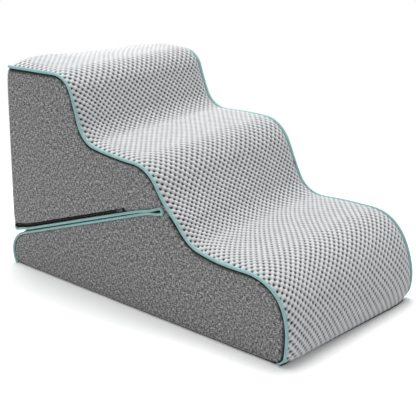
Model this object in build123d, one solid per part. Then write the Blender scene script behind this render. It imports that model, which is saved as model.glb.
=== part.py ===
from build123d import *
from math import asin, cos, degrees, radians, sin, tan
import os

# Folding pet stairs: three padded steps on two foam blocks in a sewn cover.
# The lower wedge stands on the floor. The upper block lies on its slope and tips
# forward about the cover, at the front end of the slit between the two.
# X is the width, -Y the front with the lowest step, +Z up, in millimetres.
# The origin is on the floor, at the middle of the overall size.

# Driving sizes of the whole
overall_width = 400.0
overall_length = 748.0
piping_diameter = 6.0
crown_height = 8.0
run_clearance = 0.3
overrun = 20.0

# Heights of the three treads, at the piping
first_tread_height = 162.0
second_tread_height = 303.0
third_tread_height = 432.0

# Front of the first step: a slow bulge from the floor, then the rounded nose
front_bulge_radius = 140.0
front_bulge_height = 48.0
first_nose_radius = 96.0

# Risers: slope, distance of the middle from the front, valley and nose roundings
lower_riser_angle = 60.0
lower_riser_distance = 293.0
lower_valley_radius = 62.0
second_nose_radius = 68.0
upper_riser_angle = 73.0
upper_riser_distance = 538.0
upper_valley_radius = 50.0
third_nose_radius = 45.0

# Rear: the upper block's wall leans in from the lower block's rounded nose
rear_wall_foot_inset = 4.0
rear_wall_top_inset = 25.0
rear_corner_radius = 6.0
rear_nose_radius = 54.0
rear_nose_height = 25.0

# Slit between the blocks
slit_slope = 19.4
slit_gap = 0.6
loop_radius = 4.4
loop_bend_radius = 3.8
loop_taper = 28.0
loop_taper_radius = 60.0
loop_distance = 25.0

# Cover and core
mesh_thickness = 5.0
cloth_thickness = 2.0
base_thickness = 2.0

# The crown rises from the piping in these steps: distance in from the mesh's edge
# as a share of the crowned border, and height as a share of the crown
crown_border = 34.0
crown_shares = ((0.0, 0.0), (0.4, 0.62), (1.0, 1.0))

# Zipper round the upper block's lower edge
zipper_from_hinge = 120.0
tape_width = 2.9
tape_thickness = 1.0
coil_width = 0.8
coil_stand = 0.9
coil_depth = 1.6
zipper_play = 0.1
stop_length = 2.0
stop_lead = 3.0
stop_stand = 1.2

# Slider and pull: lengths run along the zipper, widths across it, heights outwards
slider_from_hinge = 136.5
slider_length = 9.0
slider_width = 5.0
slider_plate = 0.9
slider_flange = 1.0
slider_play = 0.2
bridge_length = 2.6
bridge_width = 2.0
bridge_top_thickness = 0.7
bridge_hole_length = 1.2
bridge_hole_height = 1.0
pull_length = 14.0
pull_width = 6.0
pull_thickness = 0.6
pull_eye_length = 2.6
pull_bar_length = 0.6
pull_corner_radius = 1.5

# Sizes worked out from the driving ones
piping_radius = piping_diameter / 2
piping_x = overall_width / 2 - piping_radius
panel_half_width = piping_x - piping_radius - run_clearance
side_face_x = panel_half_width + run_clearance + cloth_thickness
profile_front = -overall_length / 2 + crown_height
overall_height = third_tread_height + crown_height
rear_foot_y = overall_length / 2 - rear_wall_foot_inset
rear_lean = (rear_wall_top_inset - rear_wall_foot_inset) / overall_height
core_offset = -(mesh_thickness + run_clearance)
panel_margin = piping_radius + run_clearance
pipe_lift = piping_radius + run_clearance
slope_swell = pipe_lift - slit_gap / 2
core_swell = slope_swell - cloth_thickness - run_clearance
rear_top_y = rear_foot_y - rear_lean * overall_height
corner_split_y = rear_top_y - rear_corner_radius - run_clearance
reach = overall_length

slope = radians(slit_slope)
slope_back = Vector(0, cos(slope), -sin(slope))
slope_up = Vector(0, sin(slope), cos(slope))
rear_nose = Vector(0, overall_length / 2 - piping_radius - rear_nose_radius, rear_nose_height)


# The stair profile


class Riser:
    """One S-shaped rise: a valley arc, a straight stretch and a nose arc."""

    def __init__(self, angle, distance, valley_radius, nose_radius, low, high):
        turn = radians(angle)
        rounding = (valley_radius + nose_radius) * (1 - cos(turn))
        stretch = (high - low - rounding) / sin(turn)
        middle_y = -overall_length / 2 + distance
        self.angle = angle
        self.valley_radius = valley_radius
        self.nose_radius = nose_radius
        self.low = low
        self.high = high
        self.along = Vector(0, cos(turn), sin(turn))
        self.out = Vector(0, -sin(turn), cos(turn))
        middle_z = low + valley_radius * (1 - cos(turn)) + stretch * sin(turn) / 2
        self.middle = Vector(0, middle_y, middle_z)
        self.valley_y = middle_y - valley_radius * sin(turn) - stretch * cos(turn) / 2
        self.nose_y = middle_y + nose_radius * sin(turn) + stretch * cos(turn) / 2

    def edges(self, grow):
        """Valley arc, straight stretch and nose arc, moved outwards by grow."""
        valley = CenterArc(
            (self.valley_y, self.low + self.valley_radius),
            self.valley_radius - grow,
            -90,
            self.angle,
        )
        nose = CenterArc(
            (self.nose_y, self.high - self.nose_radius),
            self.nose_radius + grow,
            90 + self.angle,
            -self.angle,
        )
        return [valley, Line(valley @ 1, nose @ 0), nose]


lower_riser = Riser(
    lower_riser_angle,
    lower_riser_distance,
    lower_valley_radius,
    second_nose_radius,
    first_tread_height,
    second_tread_height,
)
upper_riser = Riser(
    upper_riser_angle,
    upper_riser_distance,
    upper_valley_radius,
    third_nose_radius,
    second_tread_height,
    third_tread_height,
)


def profile_edges(grow, floor=0.0, rear=rear_foot_y):
    """Edges of the stair profile from the floor at the front to the rear of the top."""
    bulge_y = profile_front + front_bulge_radius
    bulge_radius = front_bulge_radius + grow
    foot_angle = degrees(asin((front_bulge_height - floor) / bulge_radius))
    spread = front_bulge_radius - first_nose_radius
    lift = first_tread_height - front_bulge_height - first_nose_radius
    lean = asin(lift / spread)
    bulge = CenterArc(
        (bulge_y, front_bulge_height),
        bulge_radius,
        180 + foot_angle,
        -foot_angle - degrees(lean),
    )
    nose = CenterArc(
        (bulge_y - spread * cos(lean), front_bulge_height + spread * sin(lean)),
        first_nose_radius + grow,
        180 - degrees(lean),
        degrees(lean) - 90,
    )
    low_rise = lower_riser.edges(grow)
    high_rise = upper_riser.edges(grow)
    first_tread = Line(nose @ 1, low_rise[0] @ 0)
    second_tread = Line(low_rise[-1] @ 1, high_rise[0] @ 0)
    third_tread = Line(high_rise[-1] @ 1, (rear, third_tread_height + grow))
    edges = [bulge, nose, first_tread, *low_rise, second_tread, *high_rise, third_tread]
    return edges


def closed_face(edges):
    """Face inside the open run of edges and the line that closes it."""
    closing = Line(edges[-1] @ 1, edges[0] @ 0)
    return make_face([*edges, closing])


def stair_face(grow, rear=rear_foot_y):
    """Everything under the stair profile, down to the floor."""
    edges = profile_edges(grow, rear=rear)
    edges.append(Line(edges[-1] @ 1, (rear, 0)))
    return closed_face(edges)


def wedge_face(grow):
    """Everything under the slope and inside the rear nose, down to the floor."""
    radius = rear_nose_radius + grow
    floor_angle = degrees(asin(rear_nose_height / radius))
    nose = CenterArc(
        (rear_nose.Y, rear_nose.Z),
        radius,
        -floor_angle,
        floor_angle + 90 - slit_slope,
    )
    top = nose @ 1
    front_top = (top.X - reach * cos(slope), top.Y + reach * sin(slope))
    incline = Line(top, front_top)
    front = Line(front_top, (front_top[0], 0))
    return closed_face([nose, incline, front])


def across(face, half_width):
    """Solid of the side-view face, from one side to the other."""
    return extrude(Plane.YZ * face, half_width, both=True)


def slab(face, near_x, far_x):
    """Solid of the side-view face between two places across the width."""
    return extrude(Plane.YZ.offset(near_x) * face, far_x - near_x)


# The slit: its middle plane meets the crowned riser at the fold's axis


def fold_axis_point():
    """Where the slit's middle plane meets the outside of the crowned riser."""
    on_slope = rear_nose + slope_up * (rear_nose_radius + pipe_lift)
    on_riser = lower_riser.middle + lower_riser.out * crown_height
    gap = on_slope - on_riser
    lean = lower_riser.along.dot(slope_up)
    return on_riser + lower_riser.along * (gap.dot(slope_up) / lean)


fold_axis = fold_axis_point()


def slit_point(back, up, x=0.0):
    """Place given by its distance back from the fold axis and up from the slit."""
    place = fold_axis + slope_back * back + slope_up * up
    return Vector(x, place.Y, place.Z)


def slit_band(back_from, back_to, up_from, up_to):
    """Side-view rectangle that lies along the slit."""
    corners = [
        slit_point(back_from, up_from),
        slit_point(back_to, up_from),
        slit_point(back_to, up_to),
        slit_point(back_from, up_to),
    ]
    flat = [(corner.Y, corner.Z) for corner in corners]
    return make_face(Polyline(*flat, close=True))


def above_slit(up):
    """Side view of everything higher above the slit than up."""
    return slit_band(-reach, reach, up, reach)


def below_slit(down):
    """Side view of everything lower under the slit than down."""
    return slit_band(-reach, reach, -reach, -down)


def loop_notch():
    """Side view of the room that the piping's hairpin loop takes in the panels."""
    room = loop_radius + panel_margin
    band = pipe_lift + panel_margin
    centre = slit_point(loop_distance, 0)
    disc = Pos(centre.Y, centre.Z) * Circle(room)
    corners = [
        slit_point(loop_distance, room),
        slit_point(loop_distance, -room),
        slit_point(loop_distance + loop_taper, -band),
        slit_point(loop_distance + loop_taper, band),
    ]
    flat = [(corner.Y, corner.Z) for corner in corners]
    taper = make_face(Polyline(*flat, close=True))
    tail = slit_band(loop_distance + loop_taper, reach, -band, band)
    return disc + taper + tail


def plan_section(inset, height):
    """Section of the block at a height, with the rear corners rounded."""
    half = side_face_x - inset
    rear = rear_foot_y - rear_lean * height - inset
    plan = Pos(0, rear - reach / 2) * Rectangle(2 * half, reach)
    corners = plan.vertices().group_by(Axis.Y)[-1]
    return Pos(0, 0, height) * fillet(corners, rear_corner_radius - inset)


def plan_block(inset):
    """Block with a leaning rear wall and rounded rear corners, moved in by inset."""
    return loft([plan_section(inset, 0), plan_section(inset, reach)], ruled=True)


# Cover panels


def crown_sections():
    """Places across the width and the crown's height there, from side to side."""
    left = [
        (-panel_half_width + inward * crown_border, height * crown_height)
        for inward, height in crown_shares
    ]
    right = [(-x, height) for x, height in reversed(left)]
    return left + right


def mesh_section(x, grow):
    """Section of the mesh panel at x, where the crown has risen by grow."""
    outer = profile_edges(grow)
    inner = profile_edges(-mesh_thickness)
    rear = Line(outer[-1] @ 1, inner[-1] @ 1)
    floor = Line(inner[0] @ 0, outer[0] @ 0)
    return Plane.YZ.offset(x) * make_face([*outer, rear, *inner, floor])


def mesh_panel():
    """The whole spacer-knit panel with its crown, before it is parted at the slit."""
    sections = [mesh_section(x, grow) for x, grow in crown_sections()]
    return loft(sections, ruled=True) & plan_block(0)


def lower_side_outline():
    """Side view of the lower side panel, inside its piping."""
    behind_loop = wedge_face(-panel_margin)
    before_loop = slit_band(-reach, loop_distance, -reach, -slit_gap / 2)
    inside = stair_face(-panel_margin, rear=reach) & (behind_loop + before_loop)
    return inside - loop_notch()


def upper_side_outline():
    """Side view of the upper side panel, cut back for the zipper."""
    inside = stair_face(-panel_margin, rear=corner_split_y) & above_slit(slit_gap / 2)
    zipper_room = slit_band(zipper_from_hinge, reach, 0, band_high + run_clearance)
    return inside - loop_notch() - zipper_room


def slope_panel():
    """Cloth on the slope and round the rear nose of the lower block."""
    sheet = wedge_face(slope_swell) - wedge_face(slope_swell - cloth_thickness)
    return across(sheet & stair_face(core_offset, rear=reach), panel_half_width)


def base_sheet():
    """Non-slip cloth under the lower block."""
    inside = stair_face(core_offset, rear=reach) & wedge_face(core_swell)
    floor_band = Pos(0, base_thickness / 2) * Rectangle(2 * reach, base_thickness)
    return across(inside & floor_band, panel_half_width)


def bottom_panel():
    """Cloth under the upper block, facing the slit."""
    sheet = slit_band(-reach, reach, slit_gap / 2, slit_gap / 2 + cloth_thickness)
    inside = across(sheet & stair_face(core_offset), panel_half_width)
    return inside & plan_block(cloth_thickness + run_clearance)


def back_panel():
    """Cloth of the upper block's rear wall, round both rear corners."""
    skin = plan_block(0) - plan_block(cloth_thickness)
    front = corner_split_y + run_clearance
    behind = Pos(front + reach / 2, 0) * Rectangle(reach, 2 * reach)
    inside = stair_face(core_offset) & above_slit(band_high + run_clearance) & behind
    return skin & across(inside, overall_width)


# Foam


def lower_core():
    """Foam wedge inside the lower block."""
    inside = stair_face(core_offset, rear=reach) & wedge_face(core_swell)
    floor = base_thickness + run_clearance
    above_base = Pos(0, floor + reach / 2) * Rectangle(2 * reach, reach)
    return across(inside & above_base, panel_half_width)


def upper_core():
    """Foam block inside the upper block."""
    floor = slit_gap / 2 + cloth_thickness + run_clearance
    inside = across(stair_face(core_offset) & above_slit(floor), panel_half_width)
    return inside & plan_block(cloth_thickness + run_clearance)


# Zipper: bands round the upper block's lower edge, between the piping and the panels

band_low = 2 * pipe_lift
coil_low = band_low + tape_width + zipper_play
coil_high = coil_low + 2 * coil_width + zipper_play
band_high = coil_high + zipper_play + tape_width
zipper_middle = (coil_low + coil_high) / 2
coil_from_hinge = zipper_from_hinge + stop_lead + stop_length + zipper_play


def zipper_shell(back, up_from, up_to, outward, inward):
    """U-shaped strip round the block between two heights above the slit."""
    skin = plan_block(-outward) - plan_block(inward)
    return skin & across(slit_band(back, reach, up_from, up_to), overall_width)


def zipper_tape(up_from):
    """One woven tape of the zipper, level with the panels around it."""
    return zipper_shell(zipper_from_hinge, up_from, up_from + tape_width, 0, tape_thickness)


def zipper_coil(up_from):
    """One row of teeth, standing a little proud of the tapes."""
    inward = coil_depth - coil_stand
    return zipper_shell(coil_from_hinge, up_from, up_from + coil_width, coil_stand, inward)


def zipper_stops():
    """The two end stops, one at each front end of the teeth."""
    back = zipper_from_hinge + stop_lead
    band = slit_band(back, back + stop_length, coil_low, coil_high)
    skin = plan_block(-stop_stand) - plan_block(coil_depth - coil_stand)
    return skin & across(band, overall_width)


# Piping


def swept_piping(path):
    """Round piping along a path."""
    start = Plane(origin=path @ 0, z_dir=path % 0)
    return sweep(start * Circle(piping_radius), path=path)


def edge_piping(x):
    """Piping along the whole stair profile on one side."""
    edges = profile_edges(0, floor=-overrun, rear=corner_split_y)
    path = Plane.YZ.offset(x) * Wire(edges)
    return swept_piping(path)


def slit_start_points(x, side):
    """The loop's tip, its corner and the end of its taper, above or under the slit."""
    tip = loop_distance - loop_radius
    return [
        slit_point(tip, side * slit_gap / 2, x),
        slit_point(tip, side * loop_radius, x),
        slit_point(loop_distance + loop_taper, side * pipe_lift, x),
    ]


def lower_slit_piping(x):
    """Piping from the loop's tip down the slope and round the rear nose."""
    floor_angle = asin((rear_nose_height + overrun) / rear_nose_radius)
    slope_angle = radians(90) - slope
    half_turn = (slope_angle + floor_angle) / 2
    bisector = (slope_angle - floor_angle) / 2
    corner_reach = rear_nose_radius / cos(half_turn)
    corner = Vector(
        x,
        rear_nose.Y + corner_reach * cos(bisector),
        rear_nose.Z + corner_reach * sin(bisector),
    )
    touch = Vector(
        x,
        rear_nose.Y + rear_nose_radius * cos(floor_angle),
        rear_nose.Z - rear_nose_radius * sin(floor_angle),
    )
    end = touch + (touch - corner).normalized() * piping_diameter
    points = [*slit_start_points(x, -1), corner, end]
    radii = [loop_bend_radius, loop_taper_radius, rear_nose_radius]
    path = FilletPolyline(*points, radius=radii)
    return swept_piping(Wire(path.edges()))


def upper_slit_piping():
    """Piping from the left loop's tip, round the rear, to the right loop's tip."""
    proud = piping_x - side_face_x
    level = fold_axis.Z + pipe_lift / cos(slope) + fold_axis.Y * tan(slope)
    rear_y = (rear_foot_y + proud - rear_lean * level) / (1 - rear_lean * tan(slope))
    back = (rear_y - fold_axis.Y) / cos(slope) - pipe_lift * tan(slope)
    left = [*slit_start_points(-piping_x, 1), slit_point(back, pipe_lift, -piping_x)]
    right = [Vector(-point.X, point.Y, point.Z) for point in reversed(left)]
    corner = rear_corner_radius + proud
    one_side = [loop_bend_radius, loop_taper_radius, corner]
    radii = [*one_side, *reversed(one_side)]
    path = FilletPolyline(*left, *right, radius=radii)
    return swept_piping(Wire(path.edges()))


# Slider and pull

slider_seat = slit_point(slider_from_hinge, zipper_middle, -side_face_x)
slider_plane = Plane(origin=slider_seat, x_dir=slope_back, z_dir=(-1, 0, 0))
plate_low = coil_stand + slider_play
plate_top = plate_low + slider_plate
bridge_top = plate_top + bridge_hole_height + bridge_top_thickness


def slider_box(length, width, low, high, aside=0.0):
    """Box on the slider, from one height off the cloth to another."""
    box = Box(length, width, high - low)
    return slider_plane * Pos(0, aside, (low + high) / 2) * box


def zipper_slider():
    """Plate over the teeth, a flange on each side of them and the bridge on top."""
    body = slider_box(slider_length, slider_width, plate_low, plate_top)
    flange_middle = (slider_width - slider_flange) / 2
    for aside in (-flange_middle, flange_middle):
        body += slider_box(slider_length, slider_flange, slider_play, plate_low, aside)
    body += slider_box(bridge_length, bridge_width, plate_top, bridge_top)
    hole_top = plate_top + bridge_hole_height
    return body - slider_box(bridge_hole_length, overrun, plate_top, hole_top)


def zipper_pull():
    """Flat tab with an eye, whose bar passes through the slider's bridge."""
    tab_middle = (pull_bar_length - pull_length) / 2
    eye_middle = -(pull_bar_length + pull_eye_length) / 2
    eye_width = bridge_width + 2 * slider_play
    tab = RectangleRounded(pull_length, pull_width, pull_corner_radius)
    flat = Pos(tab_middle, 0) * tab - Pos(eye_middle, 0) * Rectangle(pull_eye_length, eye_width)
    low = plate_top + (bridge_hole_height - pull_thickness) / 2
    return slider_plane * Pos(0, 0, low) * extrude(flat, pull_thickness)


def write(name, shape):
    """Write one piece under its name."""
    export_step(shape, f"parts/{name}.step")


def main():
    """Build every piece and write it."""
    os.makedirs("parts", exist_ok=True)
    lower_side = across(below_slit(slit_gap / 2), overall_width)
    upper_side = across(above_slit(slit_gap / 2), overall_width)
    above_floor = Pos(0, 0, reach / 2) * Box(2 * reach, 2 * reach, reach)

    mesh = mesh_panel()
    write("lower_mesh_cover", mesh & lower_side)
    write("upper_mesh_cover", mesh & upper_side)
    write("lower_foam_core", lower_core())
    write("upper_foam_core", upper_core())
    write("lower_slope_panel", slope_panel())
    write("base_panel", base_sheet())
    write("upper_bottom_panel", bottom_panel())
    write("upper_back_panel", back_panel())
    write("upper_slit_piping", upper_slit_piping())

    for name, side in (("left", -1), ("right", 1)):
        near = min(side * side_face_x, side * (side_face_x - cloth_thickness))
        far = near + cloth_thickness
        write(f"lower_side_panel_{name}", slab(lower_side_outline(), near, far))
        write(f"upper_side_panel_{name}", slab(upper_side_outline(), near, far))
        piping = edge_piping(side * piping_x)
        write(f"lower_edge_piping_{name}", piping & lower_side & above_floor)
        write(f"upper_edge_piping_{name}", piping & upper_side)
        write(f"lower_slit_piping_{name}", lower_slit_piping(side * piping_x) & above_floor)

    write("zipper_tape_lower", zipper_tape(band_low))
    write("zipper_tape_upper", zipper_tape(band_high - tape_width))
    write("zipper_coil_lower", zipper_coil(coil_low))
    write("zipper_coil_upper", zipper_coil(coil_high - coil_width))
    write("zipper_stops", zipper_stops())
    write("zipper_slider", zipper_slider())
    write("zipper_pull", zipper_pull())
    print("fold axis", fold_axis, "slider", slider_seat)


main()
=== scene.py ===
"""Folding pet stairs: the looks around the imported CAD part.

Sizes are in millimetres and become Blender's metres where a mesh is written. The frame is
the part's own: X across the width, -Y the front with the lowest step, +Z up.
"""

import logging
import math
from collections.abc import Callable, Iterable, Sequence
from dataclasses import dataclass, field, replace
from enum import Enum

import bpy
import numpy as np
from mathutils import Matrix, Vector

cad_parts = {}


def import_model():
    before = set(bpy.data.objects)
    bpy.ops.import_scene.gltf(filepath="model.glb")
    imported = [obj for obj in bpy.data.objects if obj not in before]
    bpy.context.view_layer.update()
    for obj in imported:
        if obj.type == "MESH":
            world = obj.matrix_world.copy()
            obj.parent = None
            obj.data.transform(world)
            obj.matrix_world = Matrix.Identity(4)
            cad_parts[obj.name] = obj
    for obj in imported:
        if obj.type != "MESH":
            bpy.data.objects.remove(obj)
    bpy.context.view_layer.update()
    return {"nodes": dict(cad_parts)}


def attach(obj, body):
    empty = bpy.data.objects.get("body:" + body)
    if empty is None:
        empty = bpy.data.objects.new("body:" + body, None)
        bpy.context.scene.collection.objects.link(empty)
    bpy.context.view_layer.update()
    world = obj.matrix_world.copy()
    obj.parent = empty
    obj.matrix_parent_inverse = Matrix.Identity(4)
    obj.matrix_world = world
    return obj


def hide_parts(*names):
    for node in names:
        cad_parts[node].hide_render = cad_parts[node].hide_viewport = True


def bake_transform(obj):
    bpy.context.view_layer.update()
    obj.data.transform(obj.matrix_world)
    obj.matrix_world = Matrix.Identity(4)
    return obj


MM = 0.001
# The map that lays a pattern on the flat cloth, and how much painted shade each place gets next to a
# seam
CLOTH_MAP = "cloth"
SEAM_SHADE_SHARE = "seam"
# Half the width of the blocks between their side cloths' faces
BLOCK_HALF = 196.0
# Heights from which and to which the upper block's rear gets fuller
FULL_HEIGHTS = (90.0, 410.0)
# Steps of a line shorter than this count as none
SMALLEST_STEP = 1e-6
# Power of the curve by which cloth turns in towards the floor
TURN_IN_POWER = 1.6
LOG = logging.getLogger("pet_stairs")

Points = np.ndarray
Pair = tuple[float, float]
Triple = tuple[float, float, float]
Place = Pair
Piece = bpy.types.Object
Tree = bpy.types.NodeTree
Node = bpy.types.Node


class Side(Enum):
    """The two sides of the stairs, by the sign of X."""

    LEFT = -1
    RIGHT = 1

    @property
    def word(self) -> str:
        """Name of the side in a piece's name."""
        return self.name.lower()


# Side-view lines


@dataclass(frozen=True)
class Bend:
    """A circular stretch of a side-view line.

    The angles are in degrees from +Y towards +Z, and a bend with a negative sweep is
    rounded outwards, so its outside faces away from the centre.
    """

    centre: Place
    radius: float
    start: float
    sweep: float

    def trace(self, spacing: float) -> tuple[Points, Points]:
        """Points along the bend and the directions that face outwards there.

        Args:
            spacing: Largest distance between two points.

        Returns:
            Two arrays of Y and Z.
        """
        steps = self.steps(spacing)
        angle = np.radians(self.start + self.sweep * np.linspace(0, 1, steps + 1))
        ray = np.column_stack([np.cos(angle), np.sin(angle)])
        return np.array(self.centre) + ray * self.radius, -math.copysign(1, self.sweep) * ray

    def steps(self, spacing: float) -> int:
        """Number of equal steps that keep to the spacing."""
        return max(2, round(math.radians(abs(self.sweep)) * self.radius / spacing))


@dataclass(frozen=True)
class Run:
    """A straight stretch of a side-view line."""

    start: Place
    end: Place

    def trace(self, spacing: float) -> tuple[Points, Points]:
        """Points along the run and the directions that face outwards there.

        Args:
            spacing: Largest distance between two points.

        Returns:
            Two arrays of Y and Z.
        """
        share = np.linspace(0, 1, self.steps(spacing) + 1)[:, None]
        start, end = np.array(self.start), np.array(self.end)
        along = (end - start) / max(np.linalg.norm(end - start), SMALLEST_STEP)
        out = np.broadcast_to([-along[1], along[0]], (len(share), 2))
        return start + share * (end - start), out

    def steps(self, spacing: float) -> int:
        """Number of equal steps that keep to the spacing."""
        return max(1, round(math.dist(self.start, self.end) / spacing))


Stretches = Sequence[Bend | Run]


@dataclass(frozen=True)
class Track:
    """A finely traced side-view line: places, outward directions and distance run."""

    places: Points
    outward: Points
    run: Points

    @classmethod
    def of(cls, stretches: Stretches, spacing: float = 1.0) -> "Track":
        """Trace stretches that follow on from each other.

        Args:
            stretches: Bends and runs, end to end.
            spacing: Largest distance between two points.

        Returns:
            The traced line.
        """
        traced = [stretch.trace(spacing) for stretch in stretches]
        places = np.vstack([part[0] for part in traced])
        outward = np.vstack([part[1] for part in traced])
        steps = np.linalg.norm(np.diff(places, axis=0), axis=1)
        keep = np.concatenate([[True], steps > SMALLEST_STEP])
        places, outward = places[keep], outward[keep]
        steps = np.linalg.norm(np.diff(places, axis=0), axis=1)
        return cls(places, outward, np.concatenate([[0.0], np.cumsum(steps)]))

    @property
    def length(self) -> float:
        """Length of the whole line."""
        return float(self.run[-1])

    def at(self, run: Points) -> tuple[Points, Points]:
        """Places and outward directions at given distances along the line.

        Args:
            run: Distances from the line's start.

        Returns:
            Two arrays of Y and Z.
        """
        run = np.asarray(run, float)
        place = np.stack([np.interp(run, self.run, self.places[:, k]) for k in (0, 1)], -1)
        out = np.stack([np.interp(run, self.run, self.outward[:, k]) for k in (0, 1)], -1)
        return place, out / np.linalg.norm(out, axis=-1, keepdims=True)

    def moved(self, distance: float) -> Points:
        """The line's places, moved outwards by a distance."""
        return self.places + self.outward * distance

    def run_near(self, place: Place) -> float:
        """Distance along the line of the point nearest to a place."""
        return float(self.run[np.linalg.norm(self.places - place, axis=1).argmin()])


@dataclass(frozen=True)
class StairProfile:
    """Side view of the three steps, at the piping."""

    length: float = 748.0
    crown: float = 8.0
    treads: Triple = (162.0, 303.0, 432.0)
    bulge_radius: float = 140.0
    bulge_height: float = 48.0
    nose_radius: float = 96.0
    riser_angles: Pair = (60.0, 73.0)
    riser_distances: Pair = (293.0, 538.0)
    valley_radii: Pair = (62.0, 50.0)
    nose_radii: Pair = (68.0, 45.0)
    rear_foot: float = 370.0
    rear_lean: float = 21.0 / 440.0
    rear_corner: float = 6.0

    def rear_wall(self, height: float | Points) -> float | Points:
        """Y of the upper block's leaning rear wall at a height over the floor."""
        return self.rear_foot - self.rear_lean * height

    @property
    def top_rear(self) -> float:
        """Y at which the side seams end on the top tread."""
        return self.rear_wall(self.treads[2]) - self.rear_corner

    def riser(self, step: int) -> list[Bend | Run]:
        """Valley, straight rise and nose of one riser.

        Args:
            step: 0 for the lower riser, 1 for the upper one.

        Returns:
            The three stretches, from the tread below to the tread above.
        """
        angle, turn = self.riser_angles[step], math.radians(self.riser_angles[step])
        low, high = self.treads[step], self.treads[step + 1]
        valley, nose = self.valley_radii[step], self.nose_radii[step]
        rise = (high - low - (valley + nose) * (1 - math.cos(turn))) / math.sin(turn)
        middle = self.riser_distances[step] - self.length / 2
        valley_y = middle - valley * math.sin(turn) - rise * math.cos(turn) / 2
        nose_y = middle + nose * math.sin(turn) + rise * math.cos(turn) / 2
        foot = Bend((valley_y, low + valley), valley, -90, angle)
        head = Bend((nose_y, high - nose), nose, 90 + angle, -angle)
        foot_end, head_start = foot.trace(valley)[0][-1], head.trace(nose)[0][0]
        return [foot, Run(tuple(foot_end), tuple(head_start)), head]

    def stretches(self, rear: float) -> list[Bend | Run]:
        """The whole line, from the floor at the front to a place on the top tread.

        Args:
            rear: Y of the line's end.

        Returns:
            The stretches in order.
        """
        front = self.crown - self.length / 2
        foot = math.degrees(math.asin(self.bulge_height / self.bulge_radius))
        spread = self.bulge_radius - self.nose_radius
        lift = self.treads[0] - self.bulge_height - self.nose_radius
        lean = math.asin(lift / spread)
        bulge_y = front + self.bulge_radius
        nose_y = bulge_y - spread * math.cos(lean)
        lean = math.degrees(lean)
        bulge = Bend((bulge_y, self.bulge_height), self.bulge_radius, 180 + foot, -foot - lean)
        nose_z = self.bulge_height + lift
        nose = Bend((nose_y, nose_z), self.nose_radius, 180 - lean, lean - 90)
        lower, upper = self.riser(0), self.riser(1)
        valley_y, head_y = lower[0].centre[0], lower[2].centre[0]
        first = Run((nose_y, self.treads[0]), (valley_y, self.treads[0]))
        second = Run((head_y, self.treads[1]), (upper[0].centre[0], self.treads[1]))
        third = Run((upper[2].centre[0], self.treads[2]), (rear, self.treads[2]))
        return [bulge, nose, first, *lower, second, *upper, third]


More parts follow.
